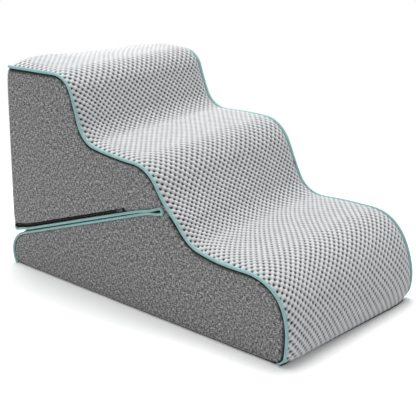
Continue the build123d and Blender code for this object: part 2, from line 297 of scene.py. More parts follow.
@dataclass(frozen=True)
class Slit:
    """The slanted slit between the two blocks, and the fold's axis at its front end."""

    axis: Place = (-91.1204, 229.471)
    slope: float = 19.4
    pipe_lift: float = 3.3
    loop_back: float = 25.0
    loop_radius: float = 5.3
    loop_neck: float = 34.0
    neck_lift: float = 2.2
    loop_sag: float = 3.4
    sag_reach: float = 60.0
    spread_end: float = 120.0
    nose_centre: Place = (319.5, 27.3)
    nose_radius: float = 50.0
    rear_reach: float = 62.0
    rear_rise: float = 5.4
    rear_flat: float = 8.0
    curl_reach: float = 11.0
    curl_rise: float = 6.6

    @property
    def along(self) -> Points:
        """Direction down the slope, towards the rear."""
        return np.array([math.cos(math.radians(self.slope)), -math.sin(math.radians(self.slope))])

    @property
    def up(self) -> Points:
        """Direction across the slit, upwards."""
        return np.array([math.sin(math.radians(self.slope)), math.cos(math.radians(self.slope))])

    def place(self, back: float | Points, up: float | Points) -> Points:
        """Side-view place at a distance back from the axis and up from the slit."""
        back, up = np.asarray(back, float), np.asarray(up, float)
        return np.array(self.axis) + back[..., None] * self.along + up[..., None] * self.up

    def rear_end(self, up: float, inward: float = 0.0) -> Points:
        """Side-view place where a line at a height over the slit meets the rear wall.

        Args:
            up: Height over the slit.
            inward: Distance in front of the wall.

        Returns:
            Y and Z.
        """
        turn = math.radians(self.slope)
        level = self.axis[1] + up / math.cos(turn) + self.axis[0] * math.tan(turn)
        wall = PROFILE.rear_foot - inward - PROFILE.rear_lean * level
        y = wall / (1 - PROFILE.rear_lean * math.tan(turn))
        return np.array([y, level - y * math.tan(turn)])

    def coordinates(self, places: Points) -> tuple[Points, Points]:
        """Distances back from the axis and up from the slit of side-view places."""
        offset = np.asarray(places, float) - np.array(self.axis)
        return offset @ self.along, offset @ self.up

    def loop_height(self, back: Points) -> Points:
        """Height of the upper piping's middle over the slit, from the loop's tip backwards.

        The two strands leave the loop's eye, touch at its neck and spread a little again.

        Args:
            back: Distances back from the fold's axis.

        Returns:
            Heights, less what the loop sags.
        """
        tip = self.loop_back - self.loop_radius
        neck = ease((back - self.loop_back) / self.loop_neck)
        spread = ease((back - self.loop_back) / (self.spread_end - self.loop_back))
        tail = self.loop_radius + (self.neck_lift - self.loop_radius) * neck
        tail = tail + (self.pipe_lift - self.neck_lift) * spread
        inside = np.clip((self.loop_back - back) / self.loop_radius, 0, 1)
        return np.where(back < tip, 0, tail * np.sqrt(1 - inside**2)) - self.sag(back)

    def sag(self, back: float | Points) -> Points:
        """How far the loop hangs below the straight slit."""
        return self.loop_sag * ease((self.loop_back + self.sag_reach - back) / self.sag_reach)

    @property
    def nose_top(self) -> Place:
        """Distance back from the axis and depth of the lower piping where its nose starts."""
        back, up = self.coordinates(np.array([self.nose_centre]))
        return float(back[0]), float(-up[0] - self.nose_radius)

    def rear_nose(self, radius: float, to_floor: float, over: float = 0.0, past: float = 0.0) -> Bend:
        """The lower block's rounded rear nose, from the slope down to the floor.

        Args:
            radius: Radius of the bend.
            to_floor: Radius at which its lower end is worked out.
            over: Height over the floor at which it ends.
            past: Degrees by which it goes on past that.

        Returns:
            The bend.
        """
        lean = 90 - self.slope
        floor = math.degrees(math.asin((self.nose_centre[1] - over) / to_floor))
        return Bend(self.nose_centre, radius, lean, -lean - floor - past)

    def tip(self, degrees: Points, radius: float) -> Points:
        """Side-view places round the loop's tip.

        Args:
            degrees: Angles from the way down the slope.
            radius: Distance from the loop's middle.

        Returns:
            Y and Z.
        """
        turn = np.radians(degrees)
        back, up = self.loop_back + radius * np.cos(turn), radius * np.sin(turn)
        return self.place(back, up - self.sag(self.loop_back))

    def lower_depth(self, back: Points) -> Points:
        """Depth of the lower piping's middle under the slit, which gapes towards the rear.

        Args:
            back: Distances back from the fold's axis.

        Returns:
            Depths.
        """
        end, depth = self.nose_top
        share = np.clip((back - self.loop_back) / (end - self.loop_back), 0, 1)
        return self.loop_height(back) + 2 * self.sag(back) + (depth - self.pipe_lift) * share

    def rise(self, y: float | Points) -> Points:
        """How far the upper block's lower edge curves up near its rear wall.

        Args:
            y: Places along Y.

        Returns:
            Heights over the straight edge.
        """
        ahead = PROFILE.rear_wall(self.nose_centre[1]) - np.asarray(y, float)
        gentle = self.rear_rise * ease((self.rear_reach - ahead) / (self.rear_reach - self.rear_flat))
        return gentle + self.curl_rise * np.clip(1 - ahead / self.curl_reach, 0, 1) ** 2

    def edge_height(self, y: Points) -> Points:
        """Height over the floor of the upper block's lower edge at places along Y."""
        return self.axis[1] - (y - self.axis[0]) * math.tan(math.radians(self.slope)) + self.rise(y)

    def upper_edge(self, back: Points, up: float) -> Points:
        """Side-view places along the upper block's lower edge.

        Args:
            back: Distances back from the fold's axis.
            up: Height over the slit.

        Returns:
            Y and Z.
        """
        places = self.place(back, up)
        places[..., 1] += self.rise(places[..., 0])
        return places


@dataclass(frozen=True)
class Pull:
    """One smooth pull on the sewn cover, as with a grab brush."""

    y: float
    z: float
    move_y: float
    move_z: float


@dataclass(frozen=True)
class SewnFit:
    """How the sewn cover sits on its foam: a little askew, as it does in the photograph.

    Each side has its own pulls, and between the sides they fade into each other.
    """

    reach: float = 42.0
    half_width: float = 197.0
    floor_hold: float = 25.0
    tuck_height: float = 16.0
    tuck_depths: Pair = (14.0, -5.0)
    tuck_end: float = -290.0
    tuck_fade: float = 40.0
    turn_start: float = 125.0
    turn_height: float = 18.0
    turn_in: Pair = (-14.0, 7.0)
    lift: float = 1.5
    left: tuple[Pull, ...] = (
        Pull(-366, 39, 5.7, 0),
        Pull(-284, 160, -0.7, -4.2),
        Pull(-219, 162, 2.1, -4.8),
        Pull(-107, 187, -11.0, 11.8),
        Pull(-72, 225, 0.4, -8.3),
        Pull(-2, 303, 1.4, -4.9),
        Pull(68, 303, 0.9, -1.2),
        Pull(150, 327, -7.7, 9.1),
        Pull(174, 403, -8.7, 3.2),
        Pull(345, 432, 0.0, -2.5),
    )
    right: tuple[Pull, ...] = (
        Pull(-366, 39, -3.7, 0),
        Pull(-303, 154, -5.3, 5.9),
        Pull(-214, 162, -1.1, 5.7),
        Pull(-99, 199, 7.7, 3.4),
        Pull(-60, 240, -2.7, -2.9),
        Pull(-2, 303, -2.4, 4.8),
        Pull(68, 303, -2.3, 4.0),
        Pull(157, 346, 7.2, 2.8),
        Pull(179, 412, 7.2, -8.4),
        Pull(262, 437, 0.0, -1.8),
        Pull(345, 432, 0.0, -13.0),
    )

    def pulled(self, points: Points, pulls: Iterable[Pull]) -> Points:
        """Moves that one side's pulls give to each point.

        Args:
            points: Places of X, Y and Z.
            pulls: That side's pulls.

        Returns:
            Moves in Y and Z.
        """
        moves = np.zeros((len(points), 2))
        for pull in pulls:
            gap = (points[:, 1] - pull.y) ** 2 + (points[:, 2] - pull.z) ** 2
            weight = np.exp(-gap / (2 * self.reach**2))
            moves += weight[:, None] * (pull.move_y, pull.move_z)
        return moves

    def settle(self, points: Points) -> Points:
        """Points of any piece, moved as the cover sits.

        Args:
            points: Places of X, Y and Z in the drawn shape.

        Returns:
            Their places on the real cover.
        """
        across = np.clip((points[:, 0] / self.half_width + 1) / 2, 0, 1)[:, None]
        moves = self.pulled(points, self.left) * (1 - across)
        moves += self.pulled(points, self.right) * across
        hold = np.clip(points[:, 2] / self.floor_hold, 0, 1)
        moved = points.copy()
        moved[:, 1] += moves[:, 0]
        moved[:, 2] += moves[:, 1] * hold
        under = np.clip(1 - points[:, 2] / self.tuck_height, 0, 1) ** TURN_IN_POWER
        depth = np.interp(across[:, 0], (0, 1), self.tuck_depths)
        front = ease((self.tuck_end - points[:, 1]) / self.tuck_fade)
        moved[:, 1] += depth * under * front
        far = np.clip((points[:, 0] - self.turn_start) / (self.half_width - self.turn_start), 0, 1)
        low = np.clip(1 - points[:, 2] / self.turn_height, 0, 1) ** TURN_IN_POWER
        turned = far**2 * low * front
        moved[:, :2] += turned[:, None] * self.turn_in
        moved[:, 2] += self.lift * (1 - hold)
        return moved


PROFILE = StairProfile()
SLIT = Slit()
FIT = SewnFit()


# Modelling bench


class Bench:
    """Blender's own tools, used on one piece at a time."""

    @staticmethod
    def clear() -> None:
        """Leave edit mode and let go of everything."""
        if bpy.context.object and bpy.context.object.mode != "OBJECT":
            bpy.ops.object.mode_set(mode="OBJECT")
        bpy.ops.object.select_all(action="DESELECT")

    @staticmethod
    def take(piece: Piece) -> None:
        """Make one piece the selected and active one.

        Args:
            piece: The piece.
        """
        Bench.clear()
        piece.select_set(True)
        bpy.context.view_layer.objects.active = piece

    @staticmethod
    def edit(piece: Piece, mode: str = "VERT") -> None:
        """Open a piece in edit mode.

        Args:
            piece: The piece.
            mode: What is picked in it: VERT, EDGE or FACE.
        """
        Bench.take(piece)
        bpy.ops.object.mode_set(mode="EDIT")
        bpy.ops.mesh.select_mode(type=mode)

    @staticmethod
    def edit_whole(piece: Piece, mode: str = "VERT") -> None:
        """Open a piece in edit mode with all of it selected."""
        Bench.edit(piece, mode)
        bpy.ops.mesh.select_all(action="SELECT")

    @staticmethod
    def close_holes() -> None:
        """Fill the open rims of the piece that is in edit mode, and leave it."""
        bpy.ops.mesh.select_all(action="DESELECT")
        bpy.ops.mesh.select_non_manifold()
        bpy.ops.mesh.edge_face_add()
        Bench.clear()

    @staticmethod
    def name(piece: Piece, name: str) -> Piece:
        """Name a piece and its mesh."""
        piece.name = piece.data.name = name
        return piece

    @staticmethod
    def read(items: Sequence, key: str, size: int = 1, kind: type = np.float32) -> Points:
        """Read one property of each of a mesh's vertices, edges, faces or corners.

        Args:
            items: The mesh's collection.
            key: The property's name.
            size: How many values it has.
            kind: Their type.

        Returns:
            One value or one row for each item.
        """
        values = np.zeros(len(items) * size, kind)
        items.foreach_get(key, values)
        return values.reshape(-1, size) if size > 1 else values

    @staticmethod
    def points(piece: Piece) -> Points:
        """Places of a mesh's vertices in millimetres."""
        return Bench.read(piece.data.vertices, "co", 3).astype(float) / MM

    @staticmethod
    def place(piece: Piece, points: Points) -> None:
        """Write places in millimetres to a mesh's vertices."""
        piece.data.vertices.foreach_set("co", (points * MM).astype(np.float32).ravel())
        piece.data.update()

    @staticmethod
    def chosen(piece: Piece) -> Points:
        """Whether each vertex is selected."""
        return Bench.read(piece.data.vertices, "select", kind=bool)

    @staticmethod
    def pick(piece: Piece, vertices: Points, edges: bool = False) -> None:
        """Select a choice of vertices, or the edges that lie wholly in it.

        Args:
            piece: The piece, which is left in edit mode.
            vertices: One truth value for each vertex.
            edges: Whether edges are picked.
        """
        Bench.edit(piece, "EDGE" if edges else "VERT")
        bpy.ops.mesh.select_all(action="DESELECT")
        bpy.ops.object.mode_set(mode="OBJECT")
        mesh = piece.data
        if edges:
            ends = Bench.read(mesh.edges, "vertices", 2, np.int32)
            mesh.edges.foreach_set("select", vertices[ends].all(1))
        else:
            mesh.vertices.foreach_set("select", vertices)
        bpy.ops.object.mode_set(mode="EDIT")

    @staticmethod
    def edge_row(name: str, columns: int, width: float) -> Piece:
        """A straight row of edges across X at the origin, made from a plane.

        Args:
            name: The piece's name.
            columns: Number of edges.
            width: Length of the row, or zero for a single vertex.

        Returns:
            The row, in edit mode with all of it selected.
        """
        Bench.clear()
        bpy.ops.mesh.primitive_plane_add(size=max(width, 1.0) * MM, location=(0, 0, 0))
        piece = Bench.name(bpy.context.object, name)
        points = Bench.points(piece)
        drop = points[:, 1] > 0
        if not width:
            drop |= points[:, 0] > 0
        Bench.pick(piece, drop)
        bpy.ops.mesh.delete(type="VERT")
        Bench.take(piece)
        points = Bench.points(piece)
        points[:, 1:] = 0
        points[:, 0] *= bool(width)
        Bench.place(piece, points)
        Bench.edit_whole(piece)
        if columns > 1:
            bpy.ops.mesh.subdivide(number_cuts=columns - 1)
            bpy.ops.mesh.select_all(action="SELECT")
        return piece

    @staticmethod
    def sweep(piece: Piece, stretches: Stretches, spacing: float) -> None:
        """Draw the selected row along a side-view line with spins and extrusions.

        Args:
            piece: The row, in edit mode and lying at the line's start.
            stretches: The line's bends and runs, end to end.
            spacing: Largest length of one face.
        """
        start = stretches[0].trace(spacing)[0][0] * MM
        bpy.ops.transform.translate(value=(0, start[0], start[1]))
        for stretch in stretches:
            steps = stretch.steps(spacing)
            if isinstance(stretch, Bend):
                centre = (0, stretch.centre[0] * MM, stretch.centre[1] * MM)
                angle = -math.radians(stretch.sweep)
                bpy.ops.mesh.spin(steps=steps, angle=angle, center=centre, axis=(1, 0, 0))
            else:
                step = (np.array(stretch.end) - np.array(stretch.start)) * MM / steps
                bpy.ops.mesh.extrude_repeat(steps=steps, offset=(0, step[0], step[1]))

    @staticmethod
    def outline(name: str, places: Points, x: float) -> Piece:
        """A flat face across X from an outline in the side view.

        Args:
            name: The piece's name.
            places: Y and Z of the outline's corners, in order.
            x: Where the face stands.

        Returns:
            The face, in edit mode with all of it selected.
        """
        piece = Bench.edge_row(name, 1, 0)
        step = np.diff(places, axis=0, prepend=np.zeros((1, 2))) * MM
        bpy.ops.transform.translate(value=(x * MM, step[0, 0], step[0, 1]))
        for move in step[1:]:
            offset = {"value": (0, move[0], move[1])}
            bpy.ops.mesh.extrude_vertices_move(TRANSFORM_OT_translate=offset)
        bpy.ops.mesh.select_all(action="SELECT")
        bpy.ops.mesh.edge_face_add()
        return piece

    @staticmethod
    def slice(axis: int, low: float, high: float, spacing: float) -> None:
        """Cut what is open in edit mode into strips across one axis.

        Args:
            axis: Number of the axis.
            low: Where the first strip starts.
            high: Where the last one ends.
            spacing: Width of the strips.
        """
        normal = tuple(float(k == axis) for k in range(3))
        for at in np.arange(low + spacing / 2, high, spacing):
            bpy.ops.mesh.select_all(action="SELECT")
            place = tuple(at * MM * k for k in normal)
            bpy.ops.mesh.bisect(plane_co=place, plane_no=normal)
        bpy.ops.mesh.select_all(action="SELECT")

    @staticmethod
    def trim_at_floor(piece: Piece) -> None:
        """Cut away what is under the floor and close the cut.

        Args:
            piece: The piece.
        """
        Bench.edit_whole(piece)
        up = (0, 0, 1)
        bpy.ops.mesh.bisect(plane_co=(0, 0, 0), plane_no=up, use_fill=True, clear_inner=True)
        Bench.clear()

    @staticmethod
    def modify(piece: Piece, kind: str, **settings: object) -> None:
        """Add a modifier and apply it.

        Args:
            piece: The piece.
            kind: Blender's name for the modifier.
            settings: The modifier's own properties.
        """
        Bench.take(piece)
        modifier = piece.modifiers.new(kind.lower(), kind)
        for name, value in settings.items():
            setattr(modifier, name, value)
        bpy.ops.object.modifier_apply(modifier=modifier.name)

    @staticmethod
    def face_outwards(piece: Piece, smooth: float = 40.0) -> None:
        """Turn the faces outwards and smooth the shading across gentle edges.

        Args:
            piece: The piece.
            smooth: Largest angle of a gentle edge, in degrees.
        """
        Bench.edit_whole(piece)
        bpy.ops.mesh.normals_make_consistent(inside=False)
        Bench.smooth(piece, smooth)

    @staticmethod
    def smooth(piece: Piece, angle: float) -> None:
        """Smooth the shading across edges gentler than an angle in degrees."""
        Bench.take(piece)
        bpy.ops.object.shade_smooth_by_angle(angle=math.radians(angle))

    @staticmethod
    def thicken(piece: Piece, thickness: float, smooth: float) -> None:
        """Give an open sheet its thickness in millimetres, inwards, and smooth it."""
        Bench.modify(piece, "SOLIDIFY", thickness=thickness * MM, offset=-1)
        Bench.smooth(piece, smooth)

    @staticmethod
    def turn_to(piece: Piece, facing: Triple) -> None:
        """Make an open sheet's faces agree and face one way on the whole.

        Args:
            piece: The sheet.
            facing: The way that its outside faces.
        """
        Bench.face_outwards(piece)
        if (Bench.read(piece.data.polygons, "normal", 3).mean(0) * facing).sum() < 0:
            Bench.edit_whole(piece, "FACE")
            bpy.ops.mesh.flip_normals()
            Bench.clear()

    @staticmethod
    def lay_cloth(piece: Piece, along: Points, across: Points) -> None:
        """Give each corner its place on the flat cloth, in metres, as the cloth's map.

        Args:
            piece: The piece.
            along: First distance for each vertex, in millimetres.
            across: Second distance for each vertex, in millimetres.
        """
        mesh = piece.data
        layer = mesh.uv_layers.get(CLOTH_MAP) or mesh.uv_layers.new(name=CLOTH_MAP)
        flat = np.column_stack([along, across])[Bench.corners(mesh)] * MM
        layer.data.foreach_set("uv", flat.astype(np.float32).ravel())

    @staticmethod
    def cloth_places(piece: Piece) -> tuple[Points, Points]:
        """Read back each vertex's place on the flat cloth, in millimetres.

        Args:
            piece: The piece.

        Returns:
            First and second distances.
        """
        mesh = piece.data
        places = np.zeros((len(mesh.vertices), 2))
        places[Bench.corners(mesh)] = Bench.read(mesh.uv_layers[CLOTH_MAP].data, "uv", 2) / MM
        return places[:, 0], places[:, 1]

    @staticmethod
    def corners(mesh: bpy.types.Mesh) -> Points:
        """Number of the vertex at each corner of each face."""
        return Bench.read(mesh.loops, "vertex_index", kind=np.int32)


def distance_to_line(places: Points, line: Points) -> Points:
    """Distance of each side-view place to a chain of straight pieces.

    Args:
        places: Side-view places.
        line: The chain's corners.

    Returns:
        One distance for each place.
    """
    start, step = line[:-1], np.diff(line, axis=0)
    length = np.maximum((step**2).sum(1), SMALLEST_STEP**2)
    best = np.full(len(places), np.inf)
    for first, move, size in zip(start, step, length):
        share = np.clip(((places - first) @ move) / size, 0, 1)[:, None]
        best = np.minimum(best, np.linalg.norm(places - first - share * move, axis=1))
    return best


def ease(value: Points) -> Points:
    """Smooth step from 0 to 1."""
    share = np.clip(value, 0, 1)
    return share * share * (3 - 2 * share)


def fullness(height: Points) -> Points:
    """How full the upper block's rear is, from 0 low down to 1 near the top."""
    return np.clip((height - FULL_HEIGHTS[0]) / (FULL_HEIGHTS[1] - FULL_HEIGHTS[0]), 0, 1)


# Finishes


def linear(code: str) -> tuple[float, ...]:
    """Blender's linear colour, opaque, for an sRGB value of six hex digits."""
    shares = [int(code[k : k + 2], 16) / 255 for k in (0, 2, 4)]
    return *(s / 12.92 if s <= 0.04045 else ((s + 0.055) / 1.055) ** 2.4 for s in shares), 1.0


def add(tree: Tree, kind: str, links: dict | None = None, **settings: object) -> Node:
    """Add a node with its settings and what goes into its sockets.

    Args:
        tree: The material's or world's node tree.
        kind: Blender's name for the node, after ShaderNode.
        links: Socket name or number to a value, a node's output or a node, which stands
            for its first output.
        settings: The node's own properties.

    Returns:
        The node.
    """
    node = tree.nodes.new("ShaderNode" + kind)
    for name, value in settings.items():
        setattr(node, name, value)
    for name, value in (links or {}).items():
        if isinstance(value, Node):
            value = value.outputs[0]
        if isinstance(value, bpy.types.NodeSocket):
            tree.links.new(value, node.inputs[name])
        else:
            node.inputs[name].default_value = value
    return node


@dataclass(frozen=True)
class Finish:
    """A material of the stairs: how it was made and what that gives the eye."""

    title: str

    def surface(self, tree: Tree) -> Node:
        """Build the nodes of the finish.

        Args:
            tree: The material's nodes.

        Returns:
            The shader that goes to the output.
        """
        raise NotImplementedError

    def material(self) -> bpy.types.Material:
        """The finish as a Blender material, made once and then shared.

        Returns:
            The material.
        """
        found = bpy.data.materials.get(self.title)
        if found:
            return found
        material = bpy.data.materials.new(self.title)
        material.use_nodes = True
        material.node_tree.nodes.clear()
        shader = self.surface(material.node_tree)
        add(material.node_tree, "OutputMaterial", {"Surface": shader})
        return material

    def dress(self, piece: Piece) -> None:
        """Give a piece this finish all over."""
        piece.data.materials.clear()
        piece.data.materials.append(self.material())


@dataclass(frozen=True)
class Ripple:
    """A slow, slight wave over the cloth, which shifts or lifts it by its height."""

    height: float
    along: float
    across: float

    def at(self, along: Points, across: Points) -> Points:
        """The wave's value at places on the cloth."""
        return self.height * np.sin(along / self.along + across / self.across)


@dataclass(frozen=True)
class Lattice:
    """The knit's lattice of holes, in millimetres on the flat cloth."""

    across: float = 14.2
    along: float = 13.2
    chains: Pair = (0.5, 0.6)
    chain_change: Pair = (170.0, 330.0)
    foot_lean: float = 0.3
    foot_end: float = 175.0
    foot_blend: float = 20.0
    riser_lean: float = 0.3
    riser_foot: float = 325.0
    riser_blend: float = 32.0
    sways: tuple[Ripple, Ripple] = (Ripple(1.3, 47, 61), Ripple(0.8, 23, -37))
    swings: tuple[Ripple, Ripple] = (Ripple(1.2, 83, 43), Ripple(0.7, -59, 19))

    def wave(self, along: Points, across: Points) -> Points:
        """1 in the middle of each hole and -1 on top of each puff.

        The chains of holes that run down to the right are the stronger ones.

        Args:
            along: Distances along the knit.
            across: Distances across it.

        Returns:
            One value for each place.
        """
        turn = 2 * math.pi
        down = np.cos(turn * (across / self.across + along / self.along))
        rise = np.cos(turn * (across / self.across - along / self.along))
        share = np.interp(along, self.chain_change, self.chains)
        return share * down + (1 - share) * rise

    def knitted(self, along: Points, across: Points) -> tuple[Points, Points]:
        """Places on the knit as it came off the machine, before it was pulled askew.

        Args:
            along: Distances along the steps.
            across: Places across the width.

        Returns:
            Distances along and across the knit.
        """
        foot = np.logaddexp(0, (self.foot_end - along) / self.foot_blend) * self.foot_blend
        riser = self.riser_blend * np.tanh((along - self.riser_foot) / self.riser_blend)
        lean = self.riser_lean * riser - self.foot_lean * foot
        sway = sum(ripple.at(along, across) for ripple in self.sways)
        swing = sum(ripple.at(along, across) for ripple in self.swings)
        return along + swing, across - lean + sway


LATTICE = Lattice()


@dataclass(frozen=True)
class SpacerKnit(Finish):
    """Warp-knitted polyester spacer mesh: puffed pale ribs round small dark holes.

    The hollows between the puffs are painted a darker grey and the holes near black, as painted
    shade, and the matt yarn gives a soft, dry light.
    """

    title: str = "polyester_spacer_knit"
    yarn: str = "F2F2F3"
    yarn_shade: str = "D2D3D5"
    # Painted shade: a darker grey in the creases between the puffs, near black in the holes
    crease: str = "A9ABAE"
    inner_layer: str = "25272A"
    crease_edge: Pair = (-0.45, 0.5)
    hole_edge: Pair = (0.34, 0.86)
    stitch: float = 2.2
    fuzz: float = 0.9
    mottle: float = 40.0
    merge: float = 18.0

    def lattice(self, tree: Tree, cloth: Node) -> Node:
        """The knit's lattice on the flat cloth, as in Lattice.wave.

        Args:
            tree: The material's nodes.
            cloth: The node that gives the place on the cloth.

        Returns:
            The node that gives 1 in the holes and -1 on the puffs.
        """
        split = add(tree, "SeparateXYZ", {0: cloth})
        turn = 2 * math.pi / MM
        start, end = LATTICE.chain_change
        first, last = LATTICE.chains
        change = {0: split.outputs[0], 1: start * MM, 2: end * MM, 3: first, 4: last}
        share = add(tree, "MapRange", change)
        run = {0: split.outputs[0], 1: turn / LATTICE.along}
        along = add(tree, "Math", run, operation="MULTIPLY")
        across = {0: split.outputs[1], 1: turn / LATTICE.across, 2: along}
        down = add(tree, "Math", across, operation="MULTIPLY_ADD")
        up = add(tree, "Math", {0: along, 1: -2.0, 2: down}, operation="MULTIPLY_ADD")
        down_wave = add(tree, "Math", {0: down}, operation="COSINE")
        up_wave = add(tree, "Math", {0: up}, operation="COSINE")
        lead = add(tree, "Math", {0: down_wave, 1: up_wave}, operation="SUBTRACT")
        return add(tree, "Math", {0: lead, 1: share, 2: up_wave}, operation="MULTIPLY_ADD")

    def surface(self, tree: Tree) -> Node:
        """Build the nodes of the finish.

        Args:
            tree: The material's nodes.

        Returns:
            The shader that goes to the output.
        """
        cloth = add(tree, "UVMap", uv_map=CLOTH_MAP)
        lattice = self.lattice(tree, cloth)
        fibres = {"Vector": cloth, "Scale": 1 / (self.fuzz * MM), "Detail": 3.0}
        fuzz = add(tree, "TexNoise", fibres)
        mottle = add(tree, "TexNoise", {"Vector": cloth, "Scale": 1 / (self.mottle * MM)})
        merge = add(tree, "TexNoise", {"Vector": cloth, "Scale": 1 / (self.merge * MM)})
        ragged = add(tree, "Math", {0: fuzz, 1: 0.5, 2: -0.45}, operation="MULTIPLY_ADD")
        wider = add(tree, "Math", {0: merge, 1: 0.4, 2: ragged}, operation="MULTIPLY_ADD")
        torn = add(tree, "Math", {0: lattice, 1: wider}, operation="ADD")
        steps = []
        for low, high in (self.crease_edge, self.hole_edge):
            edges = {"Value": torn, "From Min": low, "From Max": high}
            steps.append(add(tree, "MapRange", edges, interpolation_type="SMOOTHSTEP"))
        uneven = add(tree, "Math", {0: fuzz, 1: 0.7}, operation="MULTIPLY")
        blend = add(tree, "Math", {0: mottle, 1: 0.5, 2: uneven}, operation="MULTIPLY_ADD")
        colours = {0: blend, 6: linear(self.yarn), 7: linear(self.yarn_shade)}
        colour = add(tree, "Mix", colours, data_type="RGBA")
        # Painted shade, first in the creases and then in the holes
        for step, code in zip(steps, (self.crease, self.inner_layer)):
            colours = {0: step, 6: colour.outputs[2], 7: linear(code)}
            colour = add(tree, "Mix", colours, data_type="RGBA")
        stitches = {"Vector": cloth, "Scale": math.pi / (10 * self.stitch * MM), "Distortion": 3.0}
        stitches |= {"Detail": 1.0, "Detail Scale": 3.0}
        ribs = add(tree, "TexWave", stitches, bands_direction="DIAGONAL")
        height = add(tree, "Math", {0: ribs.outputs[1], 1: 0.6, 2: fuzz}, operation="MULTIPLY_ADD")
        bump = add(tree, "Bump", {"Height": height, "Strength": 0.5, "Distance": 0.5 * MM})
        look = {"Base Color": colour.outputs[2], "Normal": bump, "Roughness": 0.88}
        look |= {"Specular IOR Level": 0.2, "Sheen Weight": 0.15, "Sheen Roughness": 0.6}
        return add(tree, "BsdfPrincipled", look)


@dataclass(frozen=True)
class MelangeCloth(Finish):
    """Plain-woven cloth of melange yarn, dark and pale fibres spun together.

    The yarns show as short crossing streaks. Real ones are 0.5 mm apart, and these are
    drawn coarser, so that the streaks still show from a room's distance.
    """

    title: str = "melange_woven_polyester"
    dark: str = "3B3B3C"
    middle: str = "7F7F80"
    pale: str = "C9C9CA"
    # Painted shade: a near-black mixed in next to the seams, in the groove beside the piping and the
    # slit
    seam: str = "1C1C1D"
    yarn: float = 1.9
    streak: float = 7.0
    clump: float = 3.4

    def surface(self, tree: Tree) -> Node:
        """Build the nodes of the finish.

        Args:
            tree: The material's nodes.

        Returns:
            The shader that goes to the output.
        """
        cloth = add(tree, "UVMap", uv_map=CLOTH_MAP)
        fine, slow = 1 / (self.yarn * MM), 1 / (self.streak * MM)
        sets = []
        for scale, seed in (((slow, fine, 1), 3.7), ((fine, slow, 1), 9.1)):
            lie = {"Vector": cloth, "Scale": scale, "Location": (seed, seed, 0)}
            laid = add(tree, "Mapping", lie)
            sets.append(add(tree, "TexNoise", {"Vector": laid, "Scale": 1.0, "Detail": 2.0}))
        crossed = add(tree, "Math", {0: sets[0], 1: sets[1]}, operation="ADD")
        clumps = {"Vector": cloth, "Scale": 1 / (self.clump * MM), "Detail": 2.0}
        clump = add(tree, "TexNoise", clumps)
        tone = add(tree, "Math", {0: clump, 1: 0.6, 2: crossed}, operation="MULTIPLY_ADD")
        ramp = add(tree, "ValToRGB")
        spread = add(tree, "MapRange", {"Value": tone, "From Min": 1.0, "From Max": 1.6})
        ramp.color_ramp.elements[0].color = linear(self.dark)
        ramp.color_ramp.elements[1].color = linear(self.pale)
        ramp.color_ramp.elements.new(0.5).color = linear(self.middle)
        tree.links.new(spread.outputs[0], ramp.inputs[0])
        # Painted shade next to the seams, by the share that each vertex of the side panels was given
        seam_shading = add(tree, "Attribute", attribute_name=SEAM_SHADE_SHARE).outputs["Fac"]
        colours = {0: seam_shading, 6: ramp.outputs[0], 7: linear(self.seam)}
        colour = add(tree, "Mix", colours, data_type="RGBA")
        bump = add(tree, "Bump", {"Height": crossed, "Strength": 0.45, "Distance": 0.5 * MM})
        look = {"Base Color": colour.outputs[2], "Normal": bump, "Roughness": 0.9}
        look |= {"Specular IOR Level": 0.2, "Sheen Weight": 0.1, "Sheen Roughness": 0.5}
        return add(tree, "BsdfPrincipled", look)


@dataclass(frozen=True)
class WovenTrim(Finish):
    """Tight narrow cloth, such as bias binding, tape or non-slip backing.

    The weave is a faint bump, and slight changes of tone come from the way it is handled.
    """

    colour: str = "A3CDCB"
    shade: str = "93BEBC"
    handled: float = 14.0
    thread: float = 0.8
    roughness: float = 0.8
    sheen: float = 0.1

    def surface(self, tree: Tree) -> Node:
        """Build the nodes of the finish.

        Args:
            tree: The material's nodes.

        Returns:
            The shader that goes to the output.
        """
        place = add(tree, "TexCoord").outputs["Object"]
        grain = add(tree, "TexNoise", {"Vector": place, "Scale": 1 / (self.thread * MM)})
        patches = {"Vector": place, "Scale": 1 / (self.handled * MM), "Detail": 2.0}
        tone = add(tree, "TexNoise", patches)
        blend = add(tree, "Math", {0: grain, 1: tone}, operation="MULTIPLY")
        spread = add(tree, "MapRange", {"Value": blend, "From Min": 0.12, "From Max": 0.42})
        colours = {0: spread, 6: linear(self.shade), 7: linear(self.colour)}
        colour = add(tree, "Mix", colours, data_type="RGBA")
        threads = {"Vector": place, "Scale": math.pi / (10 * self.thread * MM), "Distortion": 1.0}
        weave = add(tree, "TexWave", threads, bands_direction="DIAGONAL").outputs[1]
        bump = add(tree, "Bump", {"Height": weave, "Strength": 0.35, "Distance": 0.3 * MM})
        look = {"Base Color": colour.outputs[2], "Normal": bump, "Roughness": self.roughness}
        look |= {"Specular IOR Level": 0.3, "Sheen Weight": self.sheen}
        return add(tree, "BsdfPrincipled", look)


@dataclass(frozen=True)
class CellFoam(Finish):
    """Open-cell polyurethane foam, cut from a block: pale, matt and pitted."""

    title: str = "polyurethane_foam"
    colour: str = "EFE9D8"
    shade: str = "D6CDB4"
    cell: float = 1.6

    def surface(self, tree: Tree) -> Node:
        """Build the nodes of the finish.

        Args:
            tree: The material's nodes.

        Returns:
            The shader that goes to the output.
        """
        place = add(tree, "TexCoord").outputs["Object"]
        cells = add(tree, "TexVoronoi", {"Vector": place, "Scale": 1 / (self.cell * MM)})
        colours = {0: cells, 6: linear(self.shade), 7: linear(self.colour)}
        colour = add(tree, "Mix", colours, data_type="RGBA")
        bump = add(tree, "Bump", {"Height": cells, "Strength": 0.6, "Distance": 0.6 * MM})
        look = {"Base Color": colour.outputs[2], "Normal": bump, "Roughness": 0.95}
        look |= {"Specular IOR Level": 0.15, "Subsurface Weight": 0.1, "Subsurface Scale": 2 * MM}
        return add(tree, "BsdfPrincipled", look)


